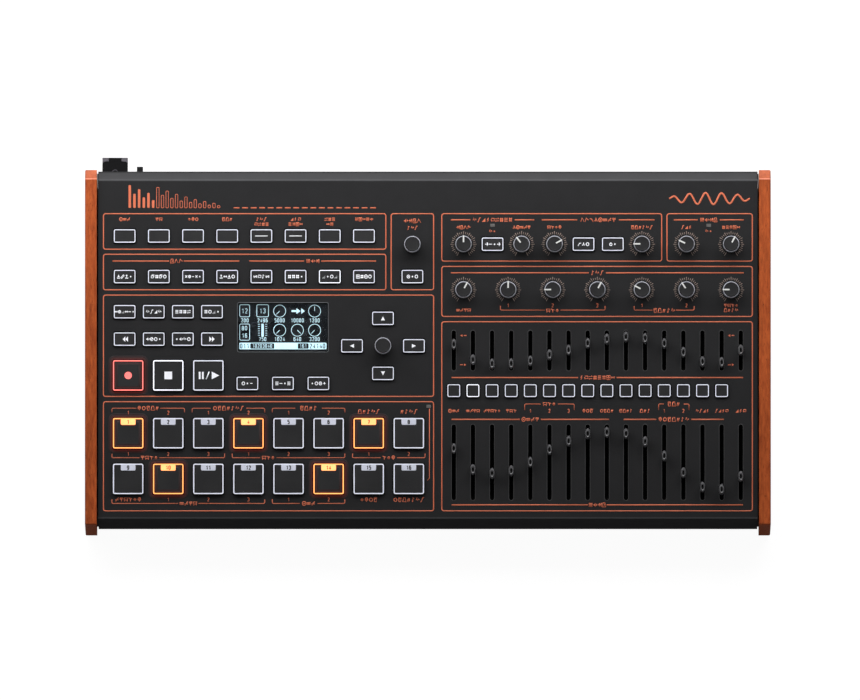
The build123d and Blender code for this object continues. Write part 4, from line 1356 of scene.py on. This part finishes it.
def key_face(name, guide, corner, width, proud):
    """The dark face inside the light guide, a little below it, with a groove round it."""
    inset = width + GROOVE
    base = proud - GUIDE_DEPTH - 0.0002
    steps = [(0, proud - sizes().face_drop - base)]
    size = [side - 2 * inset for side in guide]
    return slab(name, size, max(0.0003, corner - inset), steps, base, edge=0.0001, bends=3, smooth=0)


def around(places, half, corner):
    """Rounded rectangles round places on the panel, by half their width and height."""
    return [(rounded(x - half[0], x + half[0], u - half[1], u + half[1], corner), True) for x, u in places]


def spill(name, places, guide, corner, width, proud, body):
    """Bands of light beside a lit key: outside it on the panel, and inside it on the face."""
    inside = -width - GROOVE
    face = proud - sizes().face_drop + 0.00002
    bands = (
        ("near", 0.0007, CHASSIS, 0.0006, 0.00001),
        ("middle", 0.0009, CHASSIS, 0.0013, 0.00001),
        ("far", 0.0011, CHASSIS, 0.0022, 0.00001),
        ("middle", 0.0008, body, inside - 0.0009, face),
        ("far", 0.0012, body, inside - 0.0021, face),
    )
    for i, (strength, wide, rides, outset, height) in enumerate(bands):
        half = [side / 2 + outset + wide / 2 for side in guide]
        outlines = around(places, half, max(0.0004, corner + outset))
        band = ribbon(f"{name}_{i + 1}", outlines, wide, PANEL, height, 0.00002)
        dress(band, f"spill_{strength}", rides)


def paint_opening_shadows(name, groups):
    """A painted shadow round the keys' openings, a dark band on the panel where the gap beside each key is in
    shade: groups gives places, size and corner.
    """
    outlines = []
    for places, size, corner in groups:
        half = [side / 2 + KEY_PLAY + OPENING_SHADOW / 2 for side in size]
        outlines += around(places, half, corner + KEY_PLAY)
    dress(ribbon(name, outlines, OPENING_SHADOW, PANEL, 0.00002), "key_shadow")


def dress_keys(group, places, form, width, proud, lit):
    """Makes a group of keys: dark bodies and faces, and light guides, lit as in {index: finish name}."""
    size, corner, guide, bend = form
    planes = [at(PANEL, x, u) for x, u in places]
    bodies = spread(key_body("body", size, corner, proud), planes, f"{group}_bodies")
    dress(bodies, "key_body", group, replaces=[group])
    for name in ["rim_off", *dict.fromkeys(lit.values())]:
        where = [plane for i, plane in enumerate(planes) if lit.get(i, "rim_off") == name]
        label = f"{group}_rims" if name == "rim_off" else f"{group}_rims_{name}"
        dress(spread(key_guide("rim", guide, bend, width, proud), where, label), name, group)
    faces = spread(key_face("face", guide, bend, width, proud), planes, f"{group}_faces")
    dress(faces, "key_face", group)


class DRUM_OT_key_finishes(Operator):
    """Finishes that all the keys share"""

    bl_idname = "drum.key_finishes"
    bl_label = "Key Finishes"

    def execute(self, context):
        dull = {"grain": 1400.0, "specular": 0.1}
        guide = {"grain": 1200.0, "depth": 0.05}
        ink = {"grain": 1800.0, "depth": 0.05}
        key, rim = rgb("key"), rgb("rim")
        red, amber = srgb(150, 40, 34), srgb(150, 66, 34)
        finish("key_face", key, 0.5, grain=1400.0, depth=0.25, contrast=0.08, specular=0.16)
        finish("key_shadow", srgb(10, 11, 12), 0.7, grain=1400.0, depth=0.1, specular=0.05)
        finish("key_body", srgb(14, 14, 15), 0.5, **dull)
        # Keys that are off get a faint glow on their light guides and tabs: painted light that makes them look
        # lighter.
        finish("rim_off", rim, 0.3, contrast=0.05, glow=(0.22, 0.22, 0.24), **guide)
        finish("tab_off", rim, 0.4, contrast=0.08, glow=(0.01, 0.01, 0.012), **guide)
        finish("rim_white", rim, 0.4, glow=(0.62, 0.62, 0.62), **guide)
        finish("rim_red", red, 0.4, glow=(1.3, 0.32, 0.28), side_glow=(1.1, 0.06, 0.05), **guide)
        finish("rim_amber", amber, 0.4, glow=(1.6, 0.68, 0.2), side_glow=(1.3, 0.13, 0.06), **guide)
        finish("tab_amber", amber, 0.4, glow=(2.4, 0.8, 0.28), side_glow=(2.4, 0.3, 0.1), **guide)
        finish("spill_near", key, 0.6, depth=0.25, glow=(0.075, 0.009, 0.007), **dull)
        finish("spill_middle", key, 0.6, depth=0.25, glow=(0.032, 0.004, 0.003), **dull)
        finish("spill_far", key, 0.6, depth=0.25, glow=(0.012, 0.0016, 0.0013), **dull)
        # White key signs get a faint glow: painted light on printed signs, on keys that are mostly off.
        finish("sign_white", rgb("sign"), 0.5, contrast=0.04, glow=(0.2, 0.2, 0.21), **ink)
        finish("sign_red", srgb(200, 60, 56), 0.5, glow=(0.95, 0.24, 0.22), **ink)
        finish("sign_orange", srgb(190, 70, 40), 0.5, glow=(0.3, 0.03, 0.01), **ink)
        finish("sign_dark", srgb(18, 18, 21), 0.5, **ink)
        return {"FINISHED"}


# A key's outline and corner, then those of its light guide.
SMALL_KEY = ((0.016, 0.0105), 0.0013, (0.01565, 0.0096), 0.0012)
VOICE_KEY = ((0.0097, 0.0097), 0.0013, (0.0092, 0.0092), 0.0013)
PAD = ((0.0225, 0.0225), 0.001, (0.0221, 0.0221), 0.0014)


class DRUM_OT_small_keys(Operator):
    """Small keys with their rims, faces and signs"""

    bl_idname = "drum.small_keys"
    bl_label = "Small Keys"

    def execute(self, context):
        size = sizes()
        groups = {
            "function_keys": (SMALL_KEY, {14: "rim_white"}),
            "track_keys": (SMALL_KEY, {}),
            "arrow_keys": (SMALL_KEY, {}),
            "synth_keys": (SMALL_KEY, {}),
            "voice_keys": (VOICE_KEY, {1: "rim_white"}),
        }
        for group, (form, lit) in groups.items():
            dress_keys(group, spots(group), form, size.guide_narrow, size.key_proud, lit)
        paint_opening_shadows("key_openings", [(spots(group), *form[:2]) for group, (form, lit) in groups.items()])
        edit = "store pen fetch dot|copy cells copy ring|cross slash minus cross dot|fetch span store ring"
        mode = "chain loop note chain|cells mesh cells dot|steps dot ring steps|window cells kick ring"
        track = "span slash steps span dash dot|wave rise ramp wave|layers mesh cells swap"
        move = "mesh ring steps dot|back|speaker slash ring dot|dot speaker wave ring|ahead"
        self.signs("function_keys", f"||||dash|dash|||{edit}|{mode}|target dot ring")
        self.signs("track_keys", f"{track}|{move}|ring dot minus|layers dash dot layers|dot ring slash plus")
        self.signs("arrow_keys", "up|left|forward|down")
        self.signs("synth_keys", "right dash dot right|highpass peak ring|power dot")
        return {"FINISHED"}

    def signs(self, group, rows):
        """Prints a row of signs on each key of a group, in order; an empty row leaves the key bare."""
        size = sizes()
        height = size.key_proud - size.face_drop + KEY_INK
        marks = [(row, x, u, self.height(row)) for (x, u), row in zip(spots(group), rows.split("|")) if row]
        dress(signs(f"{group}_signs", marks, 0.00058, PANEL, height), "sign_white", group)

    def height(self, row):
        """Height of a row's signs, a little less for a long row; a lone dash spans the key's face."""
        count = len(row.split())
        if row == "dash":
            return 0.0092
        return 0.0039 if count == 1 else 0.0026 if count < 5 else 0.0022


class DRUM_OT_pads(Operator):
    """Square pads with numbered tabs, and the three transport keys"""

    bl_idname = "drum.pads"
    bl_label = "Pads"

    tab_width: length("Tab width", "Numbered tab at a pad's far side", 0.0107)
    tab_depth: length("Tab depth", "Numbered tab from the pad's far edge", 0.0051)

    lit_pads = (0, 3, 6, 9, 13)

    def execute(self, context):
        size = sizes()
        outline, corner, guide, bend = PAD
        width, proud = size.guide_wide, size.pad_proud
        pads = spots("drum_pads")
        dress_keys("drum_pads", pads, PAD, width, proud, {i: "rim_amber" for i in self.lit_pads})
        keys = spots("transport_keys")
        dress_keys("transport_keys", keys, PAD, width, proud, {0: "rim_red", 1: "rim_white"})
        paint_opening_shadows("pad_openings", [(pads + keys, outline, corner)])
        spill("pad_spill", [pads[i] for i in self.lit_pads], guide, bend, width, proud, "drum_pads")
        spill("record_spill", keys[:1], guide, bend, width, proud, "transport_keys")
        tab_u = guide[1] / 2 - self.tab_depth / 2 - 0.0002
        top = proud + 0.00002
        tab_size = (self.tab_width, self.tab_depth - 0.0006)
        dark = [i for i in range(16) if i not in self.lit_pads]
        for name, ending, ink, chosen in (
            ("tab_off", "", "sign_dark", dark),
            ("tab_amber", "_lit", "sign_orange", self.lit_pads),
        ):
            tab = slab("tab", tab_size, 0.0009, [(0, 0.0009)], top - 0.0009, edge=0.0002)
            places = [at(PANEL, pads[i][0], pads[i][1] + tab_u) for i in chosen]
            dress(spread(tab, places, f"drum_pads_tabs{ending}"), name, "drum_pads")
            marks = [(str(i + 1), pads[i][0], pads[i][1] + tab_u - 0.0001, 0.0025) for i in chosen]
            numbers = signs(f"drum_pads_numbers{ending}", marks, 0.00074, PANEL, top + KEY_INK)
            dress(numbers, ink, "drum_pads")
        face = proud - size.face_drop + KEY_INK
        (x, u), stop, play = keys
        record = signs("record_sign", [("record", x, u, 0.0109)], 0.0005, PANEL, face)
        dress(record, "sign_red", "transport_keys")
        marks = [
            ("stop", *stop, 0.0074),
            ("bar", play[0] - 0.0063, play[1], 0.0053),
            ("bar", play[0] - 0.004, play[1], 0.0053),
            ("forward", play[0] + 0.0052, play[1], 0.0073),
        ]
        plain = signs("stop_and_play_signs", marks, 0.0005, PANEL, face)
        slash = [(play[0] - 0.0016, play[1] - 0.0028), (play[0] + 0.0006, play[1] + 0.0028)]
        slash = ribbon("play_slash", [(slash, False)], 0.0008, PANEL, face)
        dress(join(plain, slash), "sign_white", "transport_keys")
        return {"FINISHED"}


# ---------------------------------------------------------------- display
class DRUM_OT_display(Operator):
    """Clear window over a lit display with dials, boxes and a bar"""

    bl_idname = "drum.display"
    bl_label = "Display"

    module_depth: length("Display depth", "From the panel down to the display's face", 0.0033)
    window_lip: length("Window lip", "Part of the window hidden under the panel", 0.0024)

    def execute(self, context):
        lit_height, band_height, number_height = 0.00006, 0.00012, 0.00018
        x, u = spots("display_window")[0]
        face = at(PANEL, x, u, -self.module_depth)
        dim = (0.003, 0.004, 0.005)
        ground = finish("display_ground", rgb("screen"), 0.3, grain=800.0, depth=0.02, glow=dim)
        repaint(ground, "display_module")
        repaint(glass("clear_window", (0.97, 0.98, 0.99), 0.02), "display_window")
        lit = finish("display_pixels", rgb("pixels"), 0.5, grain=4000.0, depth=0.0, glow=(0.32, 0.46, 0.5))
        bright = finish("display_bar", rgb("pixels"), 0.5, grain=4000.0, depth=0.0, glow=(0.36, 0.55, 0.6))
        # Places are from the display's middle.
        boxes = [
            (rounded(-0.0314, -0.0242, 0.0077, 0.0165, 0.001), True),
            (rounded(-0.019, -0.0105, 0.0077, 0.0165, 0.001), True),
            (rounded(-0.0314, -0.0242, -0.0093, 0.0025, 0.001), True),
        ]
        dials = (
            (-0.0024, 0.0119, 225),
            (0.023, 0.0119, 0),
            (-0.0024, -0.002, 225),
            (0.0105, -0.002, 135),
            (0.023, -0.002, 225),
        )
        dial_radius, hand_length = 0.0044, 0.0034
        for dial_x, dial_u, turn in dials:
            boxes.append((arc((dial_x, dial_u), dial_radius, 0, 345, 23), True))
            hand = math.radians(turn)
            tip = (dial_x + hand_length * math.sin(hand), dial_u + hand_length * math.cos(hand))
            boxes.append(([(dial_x, dial_u), tip], False))
        for i in range(6):
            level = 0.0023 - 0.0016 * i
            for side in (-1, 1):
                start = -0.0148 + side * 0.002
                boxes.append(([(start, level), (start + side * 0.0013, level)], False))
        dress(ribbon("display_outlines", boxes, 0.0004, face, lit_height), lit)
        low, high = solids("display_window")[0]
        inset = self.window_lip
        edge = rounded(low[0] + inset, high[0] - inset, low[1] + inset, high[1] - inset, 0.0012)
        border = ribbon("window_border", [(edge, True)], 0.0016, PANEL, high[2] + INK)
        dress(border, "slot_edge")
        grey = finish("window_edge", srgb(80, 84, 88), 0.5, grain=1800.0)
        dress(ribbon("window_edge", [(edge, True)], 0.00045, PANEL), grey)
        fills = [
            (rounded(-0.0157, -0.0139, -0.0068, 0.0027, 0.0004), True),
            (rounded(0.0062, 0.0096, 0.0112, 0.0126, 0.0003), True),
            ([(0.0098, 0.014), (0.0128, 0.0119), (0.0098, 0.0098)], True),
            ([(0.0133, 0.014), (0.0158, 0.0119), (0.0133, 0.0098)], True),
        ]
        upper = zip(("200", "2496", "5000", "10000", "1200"), (-0.0277, -0.0148, -0.0024, 0.0105, 0.023))
        lower = zip(("750", "1024", "640", "3200"), (-0.0148, -0.0024, 0.0105, 0.023))
        marks = [
            ("12", -0.0279, 0.012, 0.0032),
            ("13", -0.0148, 0.012, 0.0032),
            ("80", -0.0279, -0.0005, 0.0028),
            ("16", -0.0279, -0.0059, 0.0028),
            *[(number, x, 0.0051, 0.0025) for number, x in upper],
            *[(number, x, -0.0085, 0.0025) for number, x in lower],
        ]
        dress(ribbon("display_shapes", fills, 0, face, lit_height, filled=True), lit)
        dress(signs("display_numbers", marks, 0.0004, face, lit_height), lit)
        bar = [(rounded(-0.0317, 0.0317, -0.0159, -0.0111, 0.0008), True)]
        dress(ribbon("display_bar_shape", bar, 0, face, lit_height, filled=True), bright)
        ends = ((-0.0237, -0.0063), (0.0108, 0.0186))
        bands = [(rounded(start, end, -0.0154, -0.0116, 0.0005), True) for start, end in ends]
        dress(ribbon("display_bands", bands, 0, face, band_height, filled=True), ground)
        dark = [("011", -0.0279, -0.0135, 0.003), ("24140", 0.0251, -0.0135, 0.003)]
        dress(signs("display_dark_numbers", dark, 0.0006, face, band_height), ground)
        light = [("10203040", -0.015, -0.0135, 0.0023), ("161", 0.0147, -0.0135, 0.0023)]
        dress(signs("display_band_numbers", light, 0.0004, face, number_height), lit)
        return {"FINISHED"}


class DRUM_OT_lamps(Operator):
    """Small status lamps that are off"""

    bl_idname = "drum.lamps"
    bl_label = "Lamps"

    lens: length("Lens", "Width of a lamp's lens", 0.0032)

    def execute(self, context):
        repaint(finish("switch_plastic", srgb(40, 41, 44), 0.45, grain=900.0), "key_switches")
        grey = finish("lamp_lens", srgb(96, 94, 92), 0.3, grain=2500.0, depth=0.2)
        lens = slab("lens", (self.lens, self.lens * 0.66), 0.0003, [(0, 0.00025)], -0.0001, edge=0.0001)
        places = [at(PANEL, x, u) for x, u in lamp_spots()]
        dress(spread(lens, places, "status_lamps"), grey)
        return {"FINISHED"}


# ---------------------------------------------------------------- behind and inside
class DRUM_OT_sockets(Operator):
    """Finishes of the sockets, the retainer and the power button, with bare ears and a screw ring on the retainer
    """

    bl_idname = "drum.sockets"
    bl_label = "Sockets"

    ear_width: length("Ear width", "Metal corner of the retainer's plate", 0.0046)
    ear_depth: length("Ear depth", "Metal corner of the retainer's plate", 0.0036)
    block_height: length("Block height", "Retainer's block above its plate", 0.005)

    def execute(self, context):
        plastic = finish("socket_plastic", srgb(17, 17, 18), 0.55, grain=900.0, depth=0.1, specular=0.1)
        sockets = [name for name in NODES if "socket" in name]
        repaint(plastic, "small_jacks", "large_jacks", "power_button", *sockets)
        dark = finish("retainer_plastic", srgb(13, 13, 14), 0.6, grain=900.0, specular=0.05)
        repaint(dark, "cord_retainer")
        self.ears()
        return {"FINISHED"}

    def ears(self):
        """Bare metal at the two outer corners of the retainer's plate, and the mark of its screw."""
        low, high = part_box("cord_retainer")
        width, depth, step = self.ear_width, self.ear_depth, self.block_height
        inset = 0.00002
        ear = slab("ear", (width, depth), 0.0006, [(0, 0.0003)], -0.0001, edge=0.0001)
        y = high.y - depth / 2 - inset
        ends = (low.x + width / 2 + inset, high.x - width / 2 - inset)
        places = [Matrix.Translation((x, y, high.z - step)) for x in ends]
        metal = finish("ear_metal", srgb(84, 81, 87), 0.5, grain=1500.0, depth=0.1, specular=0.1)
        dress(spread(ear, places, "retainer_ears"), metal)
        middle = ((low.x + high.x) / 2, high.y - depth - 0.0086, high.z)
        ring = [(arc((0, 0), 0.0021, 0, 345, 23), True)]
        ring = ribbon("retainer_screw_ring", ring, 0.0004, axes((1, 0, 0), (0, 1, 0), middle), 0.00001)
        dress(ring, metal)


class DRUM_OT_insides(Operator):
    """Finishes of the boards and controls under the panel"""

    bl_idname = "drum.insides"
    bl_label = "Insides"

    def execute(self, context):
        boards = [name for name in NODES if "board" in name]
        repaint(laminate("circuit_laminate", srgb(18, 62, 38), srgb(196, 140, 92)), *boards)
        repaint(finish("dust_shield", srgb(4, 4, 4), 0.95, grain=2500.0, depth=0.5, specular=0.05), "slide_pots")
        repaint(finish("pot_metal", rgb("nickel"), 0.35, grain=1500.0, metallic=1.0), "rotary_pots")
        return {"FINISHED"}


# ---------------------------------------------------------------- stage
class DRUM_OT_stage(Operator):
    """White floor, soft lamps and the camera above the panel"""

    bl_idname = "drum.stage"
    bl_label = "Stage"

    elevation: FloatProperty(name="Elevation", description="Camera above the horizon, in degrees", default=78.8)
    distance: length("Camera distance", "From the panel to the camera", 20.0)
    view_width: length("View width", "Width that the camera sees at the panel", 0.6249)
    look_x: length("Look at, across", "Middle of the view across the panel", 0.00154)
    look_u: length("Look at, up", "Middle of the view up the panel", 0.12323)

    def execute(self, context):
        scene = context.scene
        scene.view_settings.view_transform = "Standard"
        self.camera(scene)
        self.lamps()
        self.world(scene)
        self.floor()
        return {"FINISHED"}

    def camera(self, scene):
        target = PANEL @ Vector((self.look_x, self.look_u, 0))
        rise = math.radians(self.elevation)
        back = Vector((0, -math.cos(rise), math.sin(rise)))
        bpy.ops.object.camera_add(location=target + back * self.distance)
        camera = bpy.context.object
        camera.name = "camera"
        camera.rotation_euler = back.to_track_quat("Z", "Y").to_euler()
        camera.data.sensor_width = 36
        camera.data.lens = camera.data.sensor_width * self.distance / self.view_width
        camera.data.clip_end = 100
        scene.camera = camera

    def lamp(self, name, azimuth, elevation, distance, size, power):
        """A soft lamp round the case, azimuth anticlockwise from +X in degrees."""
        turn, rise = math.radians(azimuth), math.radians(elevation)
        out = Vector((math.cos(turn) * math.cos(rise), math.sin(turn) * math.cos(rise), math.sin(rise)))
        middle = Vector((0, 0, 0.05))
        bpy.ops.object.light_add(type="AREA", location=middle + out * distance)
        lamp = bpy.context.object
        lamp.name = name
        lamp.data.shape = "RECTANGLE"
        lamp.data.size, lamp.data.size_y = size
        lamp.data.energy = power
        lamp.rotation_euler = out.to_track_quat("Z", "Y").to_euler()
        lamp.visible_camera = False

    def lamps(self):
        """A long lamp over the rear edge, one from the left, and one from the front that fills the shade."""
        self.lamp("rear_lamp", 91, 50, 0.56, (1.4, 0.36), 7.6)
        self.lamp("left_lamp", 170, 40, 1.5, (0.7, 0.7), 2.6)
        self.lamp("front_lamp", -90, 12, 2.0, (1.6, 0.6), 3.2)

    def world(self, scene):
        """Weak even light. The camera sees white; mirrors and glass see white that fades upwards."""
        scene.world = bpy.data.worlds.new("studio")
        scene.world.use_nodes = True
        tree = scene.world.node_tree
        soft = tree.nodes["Background"]
        feed(tree, soft, {"Color": (1, 1, 1, 1), "Strength": 0.07})
        path = add(tree, "LightPath")
        rise = add(tree, "SeparateXYZ", {0: add(tree, "TexCoord").outputs["Generated"]}).outputs["Z"]
        ends = {0: path.outputs["Is Camera Ray"], 1: remap(tree, rise, 0.5, 0.85, 1.0, 0.1)}
        level = add(tree, "Math", ends, operation="MAXIMUM").outputs[0]
        white = add(tree, "Background", {"Color": (1, 1, 1, 1), "Strength": level})
        shaders = {0: self.seen(tree, path, 1.0), 1: soft.outputs[0], 2: white.outputs[0]}
        mix = add(tree, "MixShader", shaders)
        tree.links.new(mix.outputs[0], tree.nodes["World Output"].inputs["Surface"])

    def seen(self, tree, path, share):
        """1 for rays from the camera or through glass, and a share of it for mirrors."""
        ends = {0: path.outputs["Is Camera Ray"], 1: path.outputs["Is Transmission Ray"]}
        first = add(tree, "Math", ends, operation="MAXIMUM").outputs[0]
        mirror = add(tree, "Math", {0: path.outputs["Is Glossy Ray"], 1: share}, operation="MULTIPLY")
        return add(tree, "Math", {0: first, 1: mirror.outputs[0]}, operation="MAXIMUM").outputs[0]

    def floor(self):
        """A pale floor that the camera sees as white, with the case's shadow on it."""
        bpy.ops.object.select_all(action="DESELECT")
        bpy.ops.mesh.primitive_plane_add(size=40)
        floor = bpy.context.object
        floor.name = "floor"
        material, tree, shader, _ = new_material("floor_white")
        grey = {"Base Color": (0.12, 0.12, 0.12, 1), "Roughness": 0.9, "Specular IOR Level": 0.1}
        feed(tree, shader, grey)
        glow = add(tree, "Emission", {"Color": (1, 1, 1, 1), "Strength": 0.95})
        both = add(tree, "AddShader", {0: shader.outputs[0], 1: glow.outputs[0]})
        seen = self.seen(tree, add(tree, "LightPath"), 0.05)
        mix = add(tree, "MixShader", {0: seen, 1: shader.outputs[0], 2: both.outputs[0]})
        tree.links.new(mix.outputs[0], tree.nodes["Material Output"].inputs["Surface"])
        floor.data.materials.append(material)


class DRUM_PT_panel(Panel):
    """Lists the drum machine's pieces, in the order that they are made"""

    bl_label = "Drum Machine"
    bl_space_type = "VIEW_3D"
    bl_region_type = "UI"
    bl_category = "Drum Machine"

    def draw(self, context):
        for operator in OPERATORS:
            self.layout.operator(operator.bl_idname)
        for settings in (context.scene.drum_colours, context.scene.drum_sizes):
            for name in settings.__annotations__:
                self.layout.prop(settings, name)


OPERATORS = (
    DRUM_OT_stage,
    DRUM_OT_case,
    DRUM_OT_cheeks,
    DRUM_OT_panel_frames,
    DRUM_OT_panel_lines,
    DRUM_OT_panel_signs,
    DRUM_OT_panel_ornaments,
    DRUM_OT_scales,
    DRUM_OT_knobs,
    DRUM_OT_faders,
    DRUM_OT_key_finishes,
    DRUM_OT_small_keys,
    DRUM_OT_pads,
    DRUM_OT_display,
    DRUM_OT_lamps,
    DRUM_OT_sockets,
    DRUM_OT_insides,
)
CLASSES = (DrumColours, DrumSizes, *OPERATORS, DRUM_PT_panel)


def register():
    for cls in CLASSES:
        bpy.utils.register_class(cls)
    bpy.types.Scene.drum_colours = PointerProperty(type=DrumColours)
    bpy.types.Scene.drum_sizes = PointerProperty(type=DrumSizes)


def unregister():
    del bpy.types.Scene.drum_sizes
    del bpy.types.Scene.drum_colours
    for cls in reversed(CLASSES):
        bpy.utils.unregister_class(cls)


def main():
    register()
    for operator in OPERATORS:
        group, name = operator.bl_idname.split(".")
        getattr(getattr(bpy.ops, group), name)()


if __name__ == "__main__":
    main()
